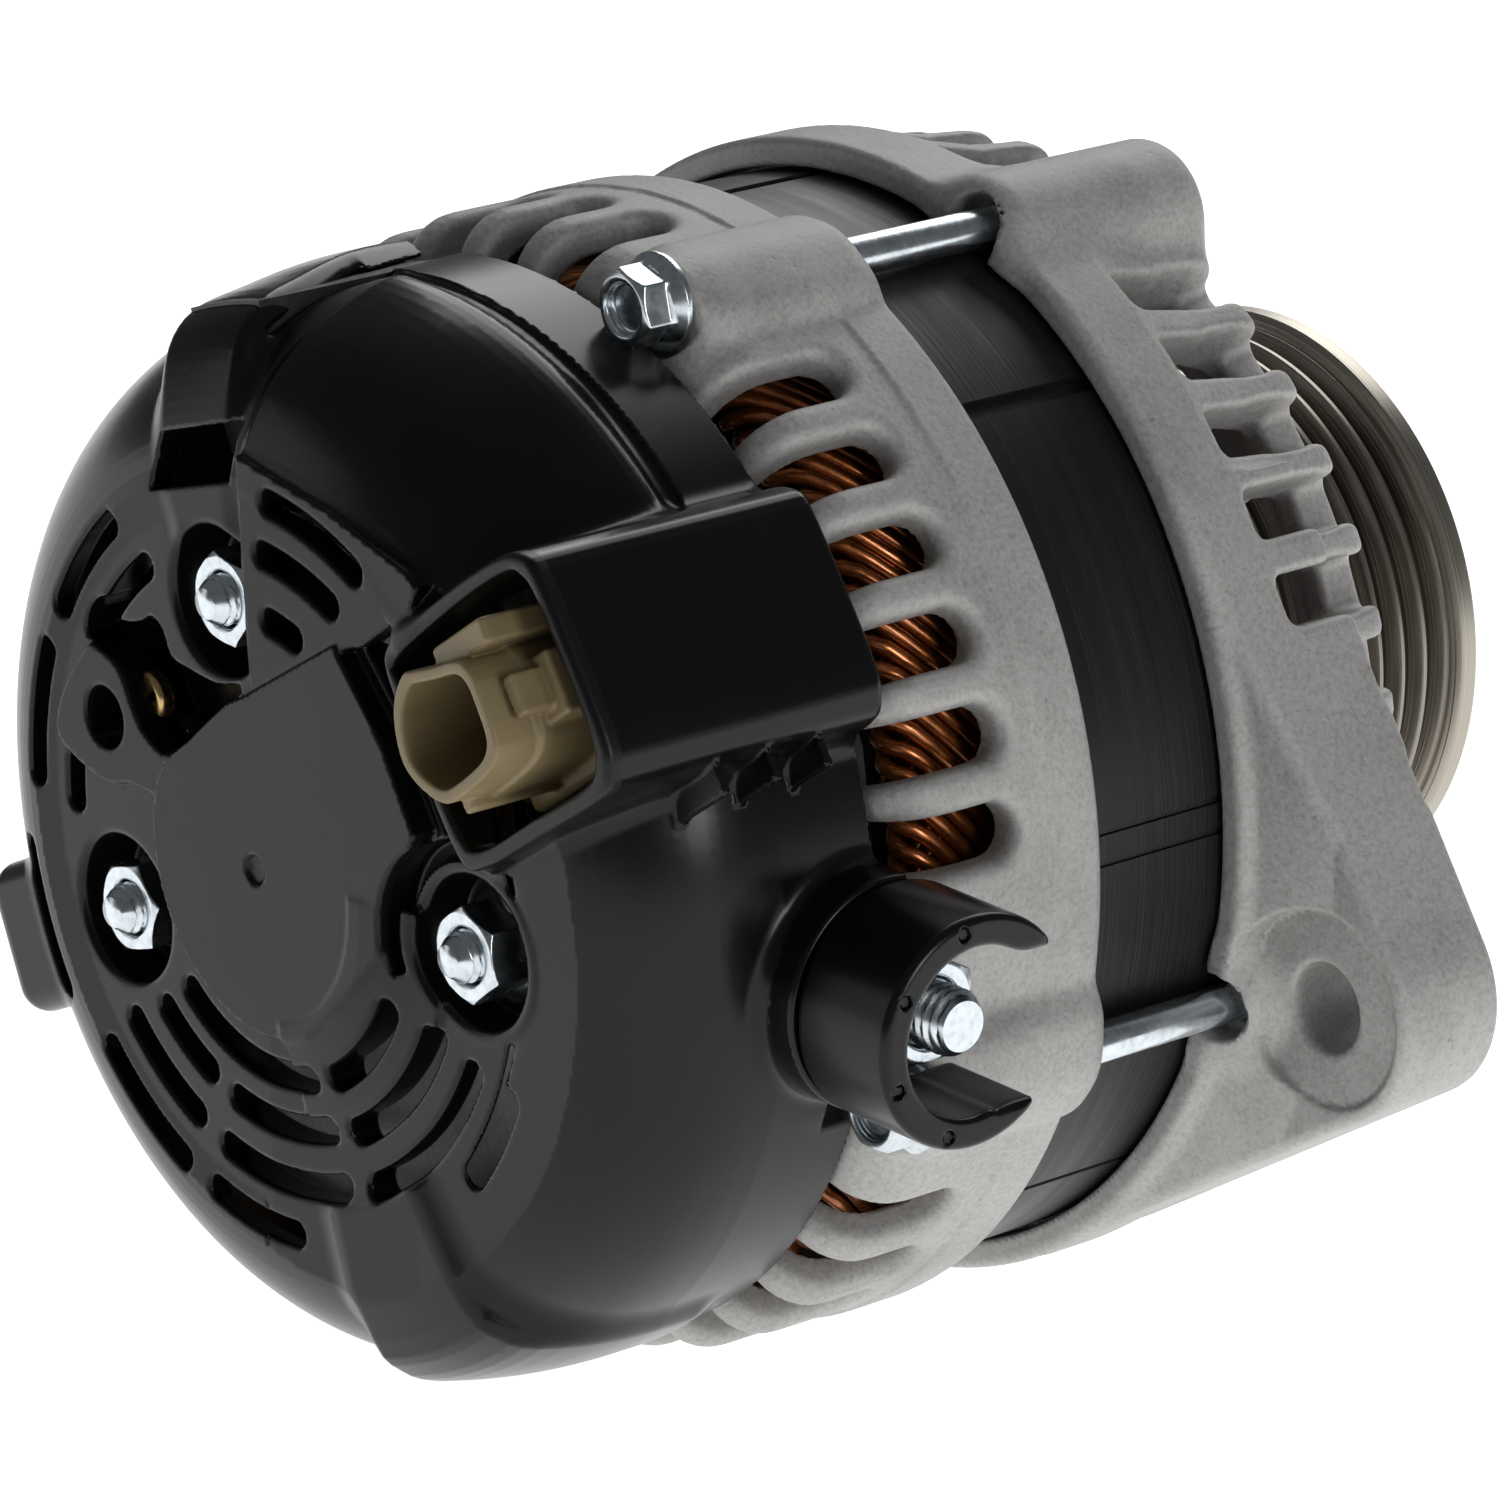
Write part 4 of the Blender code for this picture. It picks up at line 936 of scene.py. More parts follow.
# ------------------------------------------------------------------ rear cover
# slots as (radius, first angle, last angle)
VENTS = [(43.2, 131.0, 151.0), (43.8, 160.5, 181.0), (36.5, 127.0, 144.0),
         (36.5, 176.5, 183.0), (48.2, 193.2, 212.6),
         (43.2, -135, -113), (36.4, -135, -113), (29.8, -131, -113), (24.0, -128, -70),
         (30.0, -102, -70), (36.6, -103, -70), (42.8, -104, -85),
         (24.6, -58, -25), (30.9, -60, -23), (37.3, -60, -23), (43.4, -37, -22)]
PANEL_VENTS = [(43.0, 64.7, 85.8), (36.8, 67.6, 87.0), (29.5, 75.6, 84.0)]
VENT_WIDTH = 3.0
# a station well behind the cover, where cuts into its face start
CLEAR = -72.0
# the blind recess beside the first nut, where the regulator's screw sits
RECESS = [(-33.4, 18.5), (-32.9, 21.4), (-30.2, 23.6), (-26.8, 21.7), (-23.3, 22.4), (-21.0, 23.6),
          (-18.9, 22.6), (-17.4, 19.9), (-14.5, 19.3), (-8.9, 18.9), (-4.2, 19.3), (-15.7, 9.2),
          (-21.0, 9.8), (-23.6, 12.5), (-26.3, 16.6), (-30.6, 18.0)]


def hood_loop(points):
    """Smooth closed outline from points in the hood's own plane."""
    return curve([hood_point(u, v) for u, v in points], 4, True)


def cover_outside(solid):
    """The dome with its thicker quarter, skirt and bulges. Returns the outline of its inside."""
    dome = curve([(44.0, -64.6), (48.5, -63.4), (52.5, -61.2), (55.7, -58.2), (58.2, -54.6),
                  (60.2, -50.0), (61.2, -45.5), (61.6, -41.0)], 4)
    solid.add(turned([(0, COVER_FACE), (40.0, COVER_FACE)] + dome + [(61.6, -24.0), (0, -24.0)]))
    # the face falls away a little towards the terminal's side
    solid.cut(Shape(lambda x, s, z: s - COVER_FACE - 0.05 * np.maximum(x, 0),
                    (0.0, -70.0, -66.0), (70.0, -60.0, 66.0)))
    quarter = curve([(43.0, -65.3), (44.6, -65.2), (47.0, -64.4), (50.5, -62.6), (54.3, -60.0),
                     (57.9, -56.2), (60.4, -51.3), (62.4, -46.0), (63.0, -42.6), (62.4, -41.0),
                     (60.6, -39.6)], 3)
    solid.add(turned_sector(quarter + [(43.0, -39.6)], 44.0, 93.5, 0.7), 0.8)
    skirt = [(50.0, -38.3), (62.3, -38.3), (62.5, -24.0), (50.0, -24.0)]
    solid.add(turned_sector(skirt, 44.0, 108.0, 0.8), 0.8)
    bulge = curve([(36.0, -64.2), (44.0, -63.7), (49.0, -63.0), (53.5, -62.0), (57.2, -60.5),
                   (60.2, -57.9), (62.0, -54.2), (63.0, -48.0), (63.9, -42.0), (64.3, -35.6),
                   (64.1, -24.0)], 3)
    solid.add(turned_sector(bulge + [(36.0, -24.0)], 96.5, 114.0, 2.0, 0.3), 2.5)
    solid.add(radial_box(-155, (40, 61.2), (-9.0, 9.0), (-62.8, -34.0), 3.5), 1.0)
    low = curve([(40.0, -63.0), (54.0, -62.8), (58.0, -60.5), (60.2, -56.0), (61.0, -46.0),
                 (61.2, -36.0)], 3)
    solid.add(turned_sector(low + [(40.0, -36.0)], -72.5, -50.5, 1.2), 5.0)
    return ([(0, COVER_FACE + 4.6), (39.0, COVER_FACE + 4.6)] + [(r - 2.3, s + 2.6) for r, s in dome]
            + [(59.4, -10.0), (0, -10.0)])


def hood_outside(solid):
    """The connector's hood, the terminal's neck and the three thin ribs under the hood."""
    hood = hood_loop([(38.7, 12.2), (45.0, 13.0), (51.3, 13.4), (58.0, 13.5), (63.8, 13.2),
                      (67.2, 12.0), (68.9, 9.4), (69.3, 0.0), (69.2, -9.0), (68.0, -12.6),
                      (64.8, -14.5), (52.0, -14.4), (40.3, -14.0), (37.0, -11.6), (36.6, 0.0),
                      (36.9, 9.0)])
    solid.add(slab(hood, -66.2, -28.6, 1.0), 2.5)
    solid.add(cross_rod(15.5, 50.0, 56.5, 1.0), 4.0)
    solid.add(cross_rod(13.2, 50.0, 66.6, 0.5), 2.0)
    for rib in (-51.5, -44.5, -37.5):
        solid.add(radial_box(HOOD_ANGLE, (48.0, 66.5), (-18.0, -13.0), (rib - 0.5, rib + 0.5), 0.3), 0.5)


def cover_plates(solid):
    """Raised plates of the rear face, and the step round its centre."""
    plate = (arc(0, 0, 19.3, 174, 298, 18)
             + [(14.5, -12.0), (22.5, -3.5), (27.7, 9.0), (29.0, 12.0), (23.4, 21.0), (15.1, 29.9),
                (-0.6, 20.3), (-4.6, 18.2), (-11.0, 13.5), (-16.4, 9.2), (-18.6, 5.0)])
    solid.add(slab(plate, -65.9, -61.5, 0.35), 0.3)
    step = [(17.6, -65.8), (19.6, -65.8), (31.0, -63.6), (31.0, -60.0), (17.6, -60.0)]
    solid.add(turned_sector(step, -76.0, 5.0, 0.3), 1.0)
    lobe = curve([(-31.0, 18.6), (-35.5, 13.8), (-38.4, 8.4), (-38.2, 5.0), (-33.6, 3.0),
                  (-28.8, 2.2), (-24.6, 3.2), (-20.8, 3.2), (-18.3, 2.6), (-16.2, 6.0),
                  (-14.6, 9.8), (-19.4, 10.3), (-22.3, 12.9), (-24.7, 16.9), (-27.6, 18.2)], 3, True)
    solid.add(slab(lobe, -65.2, -60.0, 0.4), 0.3)


def cut_vents(solid, vents, depth):
    for r, a0, a1 in vents:
        solid.cut(vent(r, a0, a1, VENT_WIDTH, CLEAR, depth), 0.7)


def cover_openings(solid):
    """Pockets, slots and nut wells of the rear face, and the slotted panel over the first well."""
    trough = [(16.6, 31.2), (24.4, 22.4), (30.6, 11.8), (36.4, 11.6), (33.0, 16.0), (24.0, 30.6)]
    solid.cut(slab(trough, CLEAR, -61.0, 0.3), 0.5)
    pocket = [(-18.6, 45.5), (-4.8, 49.9), (-4.9, 43.3), (-19.8, 38.8)]
    solid.cut(slab(pocket, CLEAR, -58.0, 0.2), 0.5)
    solid.cut(slab(curve(RECESS, 3, True), CLEAR, -57.0, 0.3), 0.5)
    solid.cut(rod(-29.1, 9.9, 3.6, CLEAR, -58, 0.1), 0.5)
    crescent = sector(10.3, 12.6, 95, 205, CLEAR, -60.6, 0.6, at_polar(*NUTS[2]))
    solid.cut(crescent, 0.5)
    cut_vents(solid, VENTS, -52.0)
    for nut in NUTS:
        x, z = at_polar(*nut)
        solid.cut(rod(x, z, 8.5, CLEAR, -56.8, 0.6), 1.2)
        solid.cut(rod(x, z, 2.9, -60, -50, 0.1), 0.2)
    panel = [(-0.9, 20.0), (-2.9, 47.0), (14.0, 44.6), (27.7, 41.2), (29.6, 39.8), (28.4, 37.0),
             (19.4, 30.6), (17.4, 30.0)]
    solid.add(slab(panel, -65.4, -62.6, 0.35), 0.4)
    cut_vents(solid, PANEL_VENTS, -57.0)


def rear_cover():
    """Black moulded cover of the slip-ring end, with the connector's hood and the terminal's neck."""
    solid = Solid((-66, -67, -64), (68, -28, 68), 0.5)
    inside = cover_outside(solid)
    hood_outside(solid)
    solid.cut(turned(inside), 0.6)
    behind_bulge = [(44.0, -59.4), (54.5, -59.4), (58.6, -56.0), (61.6, -42.0), (62.0, -10.0),
                    (44.0, -10.0)]
    solid.cut(turned_sector(behind_bulge, 99.0, 112.8, 1.5), 1.5)
    for nut in NUTS:
        x, z = at_polar(*nut)
        solid.add(rod(x, z, 10.3, -62.2, -54.6, 0.6), 0.6)
    recess_floor = [(x * 1.08, z * 1.02 + 0.4) for x, z in RECESS]
    solid.add(slab(recess_floor, -62.5, -54.5, 0.5))
    cover_plates(solid)
    cover_openings(solid)
    # the hood's cavity, the terminal's passage, the bolt head's room and the open front
    cavity = hood_loop([(39.8, 10.4), (52.0, 11.5), (63.6, 11.3), (66.2, 9.9), (67.1, 7.2),
                        (67.2, -0.5), (67.1, -8.6), (65.9, -11.4), (62.9, -12.6), (52.0, -12.5),
                        (41.6, -12.2), (38.9, -9.4), (38.6, 0.0), (38.8, 8.4)])
    solid.cut(slab(cavity, CLEAR, -33.0, 0.6), 0.7)
    solid.cut(cross_rod(7.4, 47.0, 77.0, 0.2), 0.6)
    solid.cut(cross_rod(11.9, 64.6, 77.0, 0.2), 0.3)
    solid.cut(rod(*at_polar(-16.0, 66.0), 6.4, -33.0, -15.0, 0.2), 0.4)
    solid.cut(block((-80, COVER_RIM, -80), (80, 0, 80), 0.0))
    solid.cut(rod(0.0, 0.0, 1.6, CLEAR, -65.3, 0.3), 0.5)
    ob = solid.build("rear_cover_moulding", 190000)
    finish_piece(ob, "housing", "black_plastic", "rear_cover")


def recess_screw():
    """Pan-head screw of the regulator with a cross slot, deep in the cover's recess."""
    x, z, seat = -25.0, 12.6, -60.0
    slot_length, slot_width = 1.9, 0.45
    solid = Solid((x - 4, seat - 4, z - 4), (x + 4, seat + 1, z + 4), 0.2)
    solid.add(rod(x, z, 3.1, seat - 2.4, seat, 0.9))
    lo, hi = (x - 2, seat - 4, z - 2), (x + 2, seat, z + 2)
    for turn in (25.0, 115.0):
        a = math.radians(turn)

        def slot(p, s, q, c=math.cos(a), n=math.sin(a)):
            along, across = (p - x) * c + (q - z) * n, (q - z) * c - (p - x) * n
            return rounded([np.abs(along) - slot_length, np.abs(across) - slot_width,
                            np.abs(s - seat + 2.6) - 1.3], 0.1)

        solid.cut(Shape(slot, lo, hi), 0.3)
    ob = solid.build("recess_screw_detail", 8000)
    finish_piece(ob, "housing", "brass_contact")


# ------------------------------------------------------------------ output terminal
def terminal():
    """Open-sided sleeve that guards the output stud, with four dimples on its end face."""
    solid = Solid((TERM_X0, TERM_S - 14, TERM_Z - 14), (TERM_X1, TERM_S + 14, TERM_Z + 14), 0.4)
    solid.add(cross_rod(13.1, TERM_X0, TERM_X1, 1.0))
    solid.cut(cross_rod(9.5, TERM_X0 - 5, TERM_X1 + 5, 0.0), 0.9)
    solid.cut(block((50, TERM_S + 3.0, -12.6), (90, TERM_S + 30, 3.9), 0.2), 1.4)
    solid.cut(rod(*at_polar(-16.0, 66.0), 6.6, -33.0, -15.0, 0.2), 0.4)
    for centre in arc(TERM_S, TERM_Z, 11.6, 100, 250, 3):
        def dimple(x, s, z, centre=centre):
            return rounded([around(s, z, centre) - 0.8, np.abs(x - TERM_X1) - 0.5], 0.1)

        s, z = centre
        solid.cut(Shape(dimple, (TERM_X1 - 1, s - 1, z - 1), (TERM_X1 + 1, s + 1, z + 1)), 0.2)
    ob = solid.build("terminal_sleeve_moulding", 30000)
    finish_piece(ob, "housing", "black_plastic", "terminal_sleeve")


def threaded(name, r, pitch, start, end, along, centre, tip=1.2, steps=40, per=8):
    """A bar with a cut screw thread over its length and a chamfered, slightly domed tip at end."""
    sign = 1 if end > start else -1
    length = abs(end - start)
    rows = int(length / pitch * per) + 1
    depth = 0.54 * pitch
    pts, faces = [], []
    for i in range(rows + 1):
        t = length * i / rows
        place = start + sign * t
        limit = r - max(0.0, tip - (length - t)) * 0.75
        for k in range(steps):
            a = 2 * math.pi * k / steps
            phase = (t / pitch - k / steps) % 1.0
            ridge = abs(2 * phase - 1)
            rr = min(limit, r - depth * min(1.0, max(0.0, 1.15 * ridge - 0.08)))
            pts.append(turn_point(rr * math.cos(a), rr * math.sin(a), place, along, centre))
    for i in range(rows):
        for k in range(steps):
            m = (k + 1) % steps
            faces.append((i * steps + k, i * steps + m, (i + 1) * steps + m, (i + 1) * steps + k))
    first, last = len(pts), len(pts) + 1
    pts.append(turn_point(0, 0, start, along, centre))
    pts.append(turn_point(0, 0, end + sign * 0.15, along, centre))
    for k in range(steps):
        m = (k + 1) % steps
        faces.append((first, m, k))
        faces.append((last, rows * steps + k, rows * steps + m))
    return outward(polygon_object(name, pts, faces, 50.0))


def hexagon(across, turn=0.0, centre=(0.0, 0.0)):
    """Hexagon with the given width across its flats."""
    return arc(*centre, across / math.sqrt(3), 30 + turn, 390 + turn, 6)[:-1]


def rear_nuts():
    """Flange nuts of the cover, on their threaded studs."""
    for k, nut in enumerate(NUTS, 1):
        x, z = centre = at_polar(*nut)
        node = "cover_nut_%d" % k
        s0, s1 = stations(node)
        solid = Solid((x - 7, s0 - 1, z - 7), (x + 7, s1 + 1, z + 7), 0.22)
        solid.add(slab(hexagon(9.7, 25 * k - 5, centre), s0, s1, 0.15))
        chamfer = turned([(0, s0 - 0.05), (4.75, s0), (6.0, s0 + 0.8), (7.5, s1 + 2), (0, s1 + 2)], centre)
        solid.cut(outside(chamfer, (x - 8, s0 - 2, z - 8), (x + 8, s1 + 2, z + 8)), 0.15)
        flange = [(0, s1), (6.5, s1), (6.5, s1 - 0.8), (5.0, s1 - 2.0), (0, s1 - 2.0)]
        solid.add(turned(flange, centre), 0.3)
        solid.cut(rod(x, z, 3.2, s0 - 5, s1 + 5, 0.0), 0.8)
        ob = solid.build(node + "_detail", 16000)
        finish_piece(ob, "housing", "zinc_steel", node)
        stud = "cover_stud_%d" % k
        tip, root = stations(stud)
        ob = threaded(stud + "_detail", 2.95, 1.0, root, tip, "s", (x, 0, z), 1.6)
        finish_piece(ob, "housing", "zinc_steel", stud)


def through_bolts():
    """Flange bolts with dished hexagon heads, and their plain shanks."""
    seat = BOLT_HEAD_AT
    for k, bolt in enumerate(BOLTS, 1):
        x, z = centre = at_polar(*bolt)
        node = "through_bolt_%d" % k
        s0, s1 = stations(node)
        solid = Solid((x - 7, s0 - 1, z - 7), (x + 7, seat + 1, z + 7), 0.22)
        solid.add(slab(hexagon(8.0, 17 * k - 3, centre), s0, seat, 0.2))
        flange = [(0, seat), (5.5, seat), (5.6, seat - 0.8), (4.4, seat - 2.0), (0, seat - 2.0)]
        solid.add(turned(flange, centre), 0.5)
        chamfer = turned([(0, s0 - 0.05), (3.6, s0), (5.0, s0 + 0.8), (7.5, seat + 2), (0, seat + 2)], centre)
        solid.cut(outside(chamfer, (x - 8, s0 - 2, z - 8), (x + 8, seat - 2.2, z + 8)), 0.2)
        solid.cut(rod(x, z, 2.9, s0 - 3, s0 + 1.3, 0.5), 0.6)
        ob = solid.build(node + "_head", 16000)
        finish_piece(ob, "housing", "zinc_steel", node)
        profile = [(0, seat + 0.2), (2.2, seat + 0.2), (2.25, seat + 0.4), (2.25, s1 - 0.8), (1.6, s1),
                   (0, s1)]
        shank = lathe(node + "_shank", profile, 48, "s", (x, 0, z))
        finish_piece(shank, "housing", "zinc_steel", node)


def terminal_hardware():
    """The output stud with its thread, its washer and its nut."""
    centre = (0.0, TERM_S, TERM_Z)
    lo, hi = span("terminal_stud")
    ob = threaded("terminal_stud_detail", 3.8, 1.25, lo[0], hi[0], "x", centre, 1.3, 48, 10)
    finish_piece(ob, "housing", "zinc_steel", "terminal_stud")
    lo, hi = span("terminal_washer")
    bore, rim, bevel = 4.1, 7.0, 0.2
    profile = [(bore, lo[0]), (rim - bevel, lo[0]), (rim, lo[0] + bevel), (rim, hi[0] - bevel),
               (rim - bevel, hi[0]), (bore, hi[0])]
    ob = lathe("terminal_washer_detail", profile, 64, "x", centre)
    finish_piece(ob, "housing", "zinc_steel", "terminal_washer")
    lo, hi = span("terminal_nut")
    mid, half = middle_half(lo[0], hi[0])
    solid = Solid((lo[0] - 1, TERM_S - 8, TERM_Z - 8), (hi[0] + 1, TERM_S + 8, TERM_Z + 8), 0.22)
    flats = Table(hexagon(12.0))
    solid.add(Shape(lambda x, s, z: rounded([flats(s - TERM_S, z - TERM_Z), np.abs(x - mid) - half], 0.15),
                    lo, hi))
    cone = Table([(-30.0, lo[0] - 2), (8.5, lo[0] - 2), (7.1, hi[0] - 0.9), (5.4, hi[0]),
                  (-30.0, hi[0] + 0.05)])
    chamfer = Shape(lambda x, s, z: cone(around(s, z, centre[1:]), x), lo, hi)
    solid.cut(outside(chamfer, lo - 2, hi + 2), 0.15)
    solid.cut(cross_rod(4.05, lo[0] - 4, hi[0] + 4, 0.0), 0.5)
    ob = solid.build("terminal_nut_detail", 14000)
    finish_piece(ob, "housing", "zinc_steel", "terminal_nut")


# ------------------------------------------------------------------ connector
def connector():
    """The plug socket: an oval shell with a collar, latch and keying ribs, on a block in the hood."""
    solid = Solid((18, -74, 4), (66, -33, 58), 0.4)
    middle_u, middle_v = 52.6, -0.9
    rim = curve([(49.5, 6.6), (46.5, 4.9), (44.6, 2.1), (43.8, -1.6), (45.2, -4.9), (47.7, -7.4),
                 (50.5, -8.0), (57.1, -7.5), (59.9, -6.3), (60.9, -4.4), (61.2, -0.5), (61.1, 2.3),
                 (59.5, 4.4), (55.0, 5.4), (51.3, 6.3)], 3, True)

    def scaled(across_u, across_v):
        return [hood_point(middle_u + (u - middle_u) * across_u, middle_v + (v - middle_v) * across_v)
                for u, v in rim]

    def plank(us, vs, ss, edge=0.4):
        return radial_box(HOOD_ANGLE, us, vs, ss, edge)

    solid.add(slab(scaled(1.0, 1.0), -72.9, -34.0, 0.35))
    solid.add(slab(scaled(1.06, 1.06), -67.2, -34.0, 0.5), 0.4)
    solid.add(plank((41.6, 66.2), (-10.2, 8.8), (-58.0, -33.3), 1.0), 0.8)
    solid.add(plank((53.3, 63.4), (4.6, 7.6), (-71.0, -50.0), 0.5), 0.4)
    solid.add(plank((60.0, 65.4), (-5.0, 2.2), (-66.0, -50.0), 0.5), 0.4)
    solid.add(plank((61.6, 63.6), (-3.6, 1.0), (-70.0, -60.0)), 0.4)
    solid.add(plank((47.0, 49.0), (-9.2, -7.0), (-70.0, -55.0)), 0.4)
    solid.cut(plank((54.8, 61.8), (6.6, 9.0), (-69.5, -61.0)), 0.3)
    solid.cut(slab(scaled(0.83, 0.80), -80.0, -51.0, 0.3), 0.4)
    ob = solid.build("connector_moulding", 60000)
    finish_piece(ob, "housing", "beige_plastic", "connector_housing")


# ------------------------------------------------------------------ stator
def stator():
    """The stack as one ring with axial slots outside and winding slots inside."""
    slot_root, tooth_tip, tooth_pitch, tooth_half = 58.0, 50.2, 10, 3.4
    # notches outside as (angle, half width in degrees, depth)
    notches = ((50.5, 0.85, 0.9), (5.6, 0.25, 0.35), (2.3, 0.25, 0.35), (-40.5, 0.3, 0.4), (96.0, 0.85, 0.9),
               (140.0, 0.85, 0.9), (-84.0, 0.85, 0.9), (-130.0, 0.85, 0.9), (186.0, 0.85, 0.9))
    angles = set(float(a) for a in range(360))
    for mid, half, _ in notches:
        for off in (-half - 0.12, -half, half, half + 0.12):
            angles.add(round((mid + off) % 360, 3))
    angles = sorted(angles)
    pts, faces = [], []
    for a in angles:
        depth = 0.0
        for mid, half, deep in notches:
            if abs((a - mid + 180) % 360 - 180) <= half + 0.01:
                depth = deep
        c, n = math.cos(math.radians(a)), math.sin(math.radians(a))
        inner = slot_root if abs(a % tooth_pitch - tooth_pitch / 2) > tooth_half else tooth_tip
        outer = CORE_R - depth
        for r, s in ((outer, CORE_FRONT), (outer, CORE_REAR), (inner, CORE_REAR), (inner, CORE_FRONT)):
            pts.append((r * c, s, r * n))
    n = len(angles)
    for i in range(n):
        j = (i + 1) % n
        for k in range(4):
            m = (k + 1) % 4
            faces.append((4 * i + k, 4 * j + k, 4 * j + m, 4 * i + m))
    ob = outward(polygon_object("stator_stack", pts, faces, 20.0))
    finish_piece(ob, "housing", "lamination_steel", "stator_core")


def winding(name, node, start, crown, r_out, r_in, count, wire, sweep):
    """End turns: each strand leaves the stack, leans over to the crown and goes back inside it."""
    pts, quads = [], []
    rise = crown - start
    # each point of a strand as (share of the rise, share of the sweep, radius)
    route = curve([(0.0, 0.0, r_out - 1.5), (0.12, 0.02, r_out - 0.8), (0.45, 0.42, r_out),
                   (0.85, 0.9, r_out - 0.2), (1.0, 1.04, (r_out + r_in) / 2), (0.85, 1.2, r_in),
                   (0.4, 1.7, r_in), (0.0, 2.05, r_in)], 3)
    for k in range(count):
        base = 360 * k / count
        path = []
        for up, along, r in route:
            x, z = at_polar(base + sweep * along, r)
            path.append((x, start + rise * up, z))
        p, q = tube(path, wire, 7)
        quads += [tuple(i + len(pts) for i in f) for f in q]
        pts += p
    ob = mesh_object(name, np.array(pts), quads)
    ob.data.shade_smooth()
    finish_piece(ob, "housing", "copper_wire", node)


# ------------------------------------------------------------------ pulley end
def pulley():
    """Seven-rib belt pulley with a dished front."""
    grooves, pitch, top, flange = 7, 3.56, 34.2, 35.7
    bore, deep = 8.8, 2.75
    rear, front = stations("pulley")
    profile = [(bore, front - 11.4), (20.0, front - 11.4), (25.0, front - 9.8), (27.2, front - 7.0),
               (28.3, front - 0.6), (29.0, front), (flange - 0.7, front), (flange, front - 0.7),
               (flange, front - 2.7), (flange - 0.4, front - 3.2), (top, front - 3.7)]
    for k in range(grooves):
        edge = front - 4.0 - pitch * k
        profile += [(top, edge - 0.25), (top - 0.25, edge - 0.5), (top - deep, edge - pitch / 2 + 0.28),
                    (top - deep, edge - pitch / 2 - 0.28), (top - 0.25, edge - pitch + 0.5),
                    (top, edge - pitch + 0.25)]
    profile += [(top, rear + 0.6), (top - 0.6, rear), (26.0, rear), (24.0, rear + 10.7), (14.0, rear + 10.7),
                (14.0, rear + 4.7), (bore, rear + 4.7)]
    ob = lathe("pulley_turned", profile[::-1], 192, smooth_below=35.0)
    finish_piece(ob, "rotor", "turned_steel", "pulley")


def pulley_nut():
    """Hexagon nut on the shaft's nose."""
    s0, s1 = stations("pulley_nut")
    solid = Solid((-15, s0 - 1, -15), (15, s1 + 1, 15), 0.35)
    solid.add(slab(hexagon(23.8), s0, s1, 0.2))
    chamfer = turned([(0, s0 - 2), (16.0, s0 - 2), (14.6, s1 - 1.6), (11.9, s1), (0, s1 + 0.1)])
    solid.cut(outside(chamfer, (-16, s0 - 2, -16), (16, s1 + 2, 16)), 0.2)
    solid.cut(rod(0, 0, 9.0, s0 - 5, s1 + 5, 0.0), 0.8)
    ob = solid.build("pulley_nut_detail", 14000)
    finish_piece(ob, "rotor", "zinc_steel", "pulley_nut")


rear_housing()
front_housing()
rear_cover()
recess_screw()
terminal()
terminal_hardware()
rear_nuts()
through_bolts()
connector()
stator()
winding("winding_rear_strands", "stator_winding_rear", -2.6, -19.8, 57.6, 53.0, 120, 0.95, 16.0)
winding("winding_front_strands", "stator_winding_front", 22.6, 37.6, 54.6, 51.4, 110, 0.85, 14.0)
pulley()
pulley_nut()

# CAD nodes that show as they are get their finish here
KEPT = {
    "bearing_steel": ("shaft", "spacer_collar",
                      *("%s_bearing_%s" % (end, ring) for end in ("front", "rear")
                        for ring in ("outer", "inner", "balls"))),
    "zinc_steel": ("bearing_retainer", "front_fan", "rear_fan", "brush_spring_1", "brush_spring_2"),
    "forged_steel": ("claw_pole_rear", "claw_pole_front"),
    "copper_wire": ("field_coil",),
    "cast_aluminium": ("rectifier_plate_negative", "rectifier_plate_positive"),
    "dark_resin": ("voltage_regulator", "brush_holder", "slip_ring_core",
                   *("rectifier_diode_%d" % k for k in range(1, 7))),
    "brass_contact": ("slip_ring_1", "slip_ring_2", "terminal_post",
                      *("connector_pin_%d" % k for k in (1, 2, 3))),
    "carbon_brush": ("brush_1", "brush_2"),
}
for look, names in KEPT.items():
    for name in names:
        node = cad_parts[name]
        node.data.materials.clear()
        node.data.materials.append(LOOKS[look])


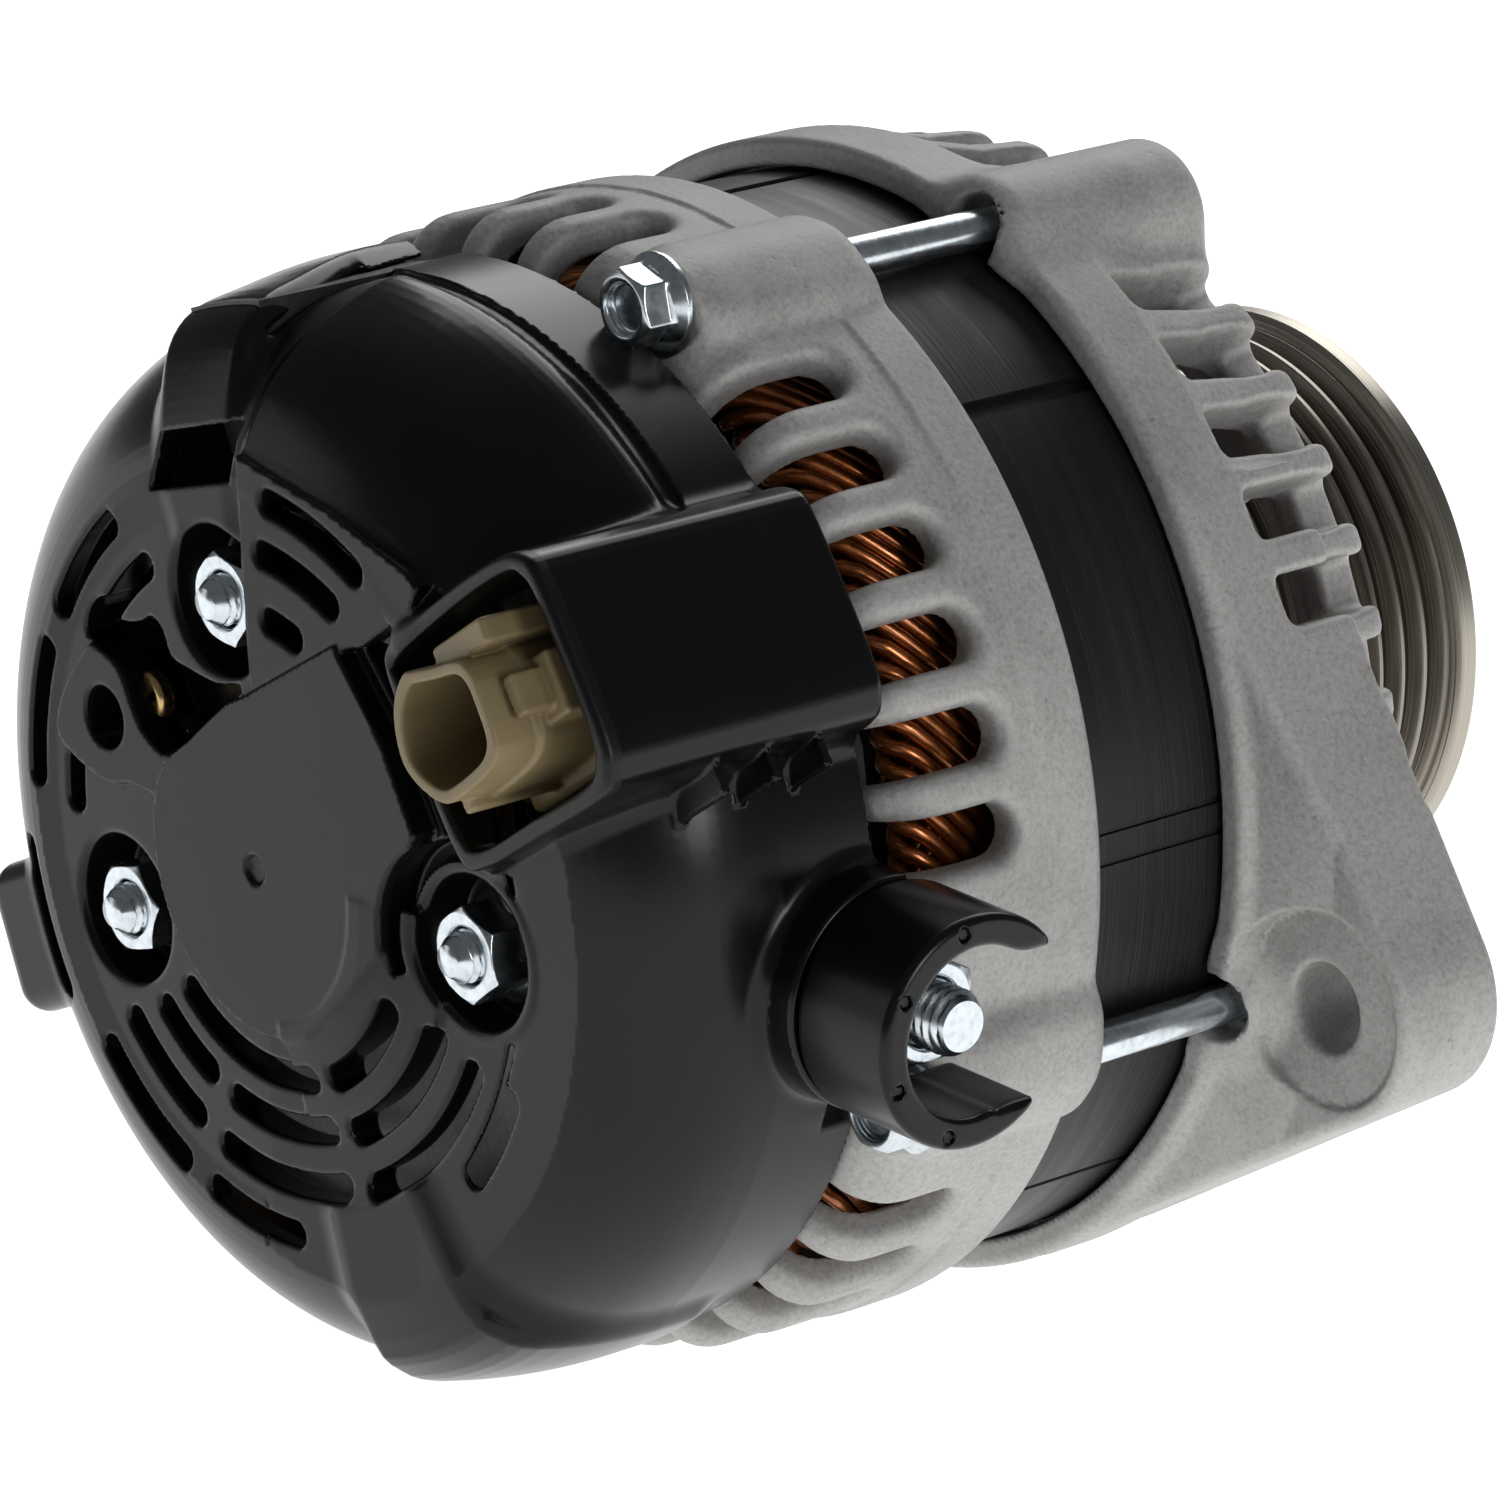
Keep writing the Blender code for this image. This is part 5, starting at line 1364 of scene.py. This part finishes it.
# ------------------------------------------------------------------ stage
def floor():
    me = bpy.data.meshes.new("floor")
    z = cad_box[0].z - 0.0002
    size = 6.0
    corners = [(-size, -size, z), (size, -size, z), (size, size, z), (-size, size, z)]
    me.from_pydata(corners, [], [(0, 1, 2, 3)])
    ob = bpy.data.objects.new("floor", me)
    bpy.context.scene.collection.objects.link(ob)
    m = bpy.data.materials.new("pale_floor")
    m.use_nodes = True
    b = m.node_tree.nodes["Principled BSDF"]
    b.inputs["Base Color"].default_value = (0.8, 0.8, 0.8, 1)
    b.inputs["Roughness"].default_value = 0.9
    b.inputs["Specular IOR Level"].default_value = 0.0
    b.inputs["Emission Color"].default_value = (1, 1, 1, 1)
    b.inputs["Emission Strength"].default_value = 0.95
    me.materials.append(m)


def softbox(name, place, size, power, target=(0.0, -0.08, 0.0)):
    light = bpy.data.lights.new(name, "AREA")
    light.shape = "RECTANGLE"
    light.size, light.size_y = size
    light.energy = power
    ob = bpy.data.objects.new(name, light)
    ob.location = place
    ob.rotation_euler = (Vector(target) - Vector(place)).to_track_quat("-Z", "Y").to_euler()
    bpy.context.scene.collection.objects.link(ob)


def studio():
    world = bpy.data.worlds.new("studio")
    bpy.context.scene.world = world
    world.use_nodes = True
    back = world.node_tree.nodes["Background"]
    back.inputs["Color"].default_value = (0.95, 0.97, 1.0, 1)
    back.inputs["Strength"].default_value = 0.10
    softbox("back_softbox", (-0.60, 0.80, 0.86), (1.1, 0.9), 9.0)
    softbox("right_softbox", (1.25, -0.10, 0.42), (0.35, 0.5), 4.0)
    softbox("left_softbox", (-0.9, -0.9, 0.25), (0.5, 0.6), 0.6)


def camera():
    azimuth, elevation = math.radians(50.4143), math.radians(19.2635)
    level = math.cos(elevation)
    back = Vector((math.sin(azimuth) * level, -math.cos(azimuth) * level, math.sin(elevation)))
    data = bpy.data.cameras.new("camera")
    data.lens = 189.7
    data.sensor_width = 36.0
    data.clip_start, data.clip_end = 0.05, 30.0
    ob = bpy.data.objects.new("camera", data)
    ob.location = (0.66339, -0.63167, 0.29909)
    ob.rotation_mode = "QUATERNION"
    ob.rotation_quaternion = (-back).to_track_quat("-Z", "Y")
    bpy.context.scene.collection.objects.link(ob)
    bpy.context.scene.camera = ob


floor()
studio()
camera()
bpy.context.scene.view_settings.view_transform = "Standard"
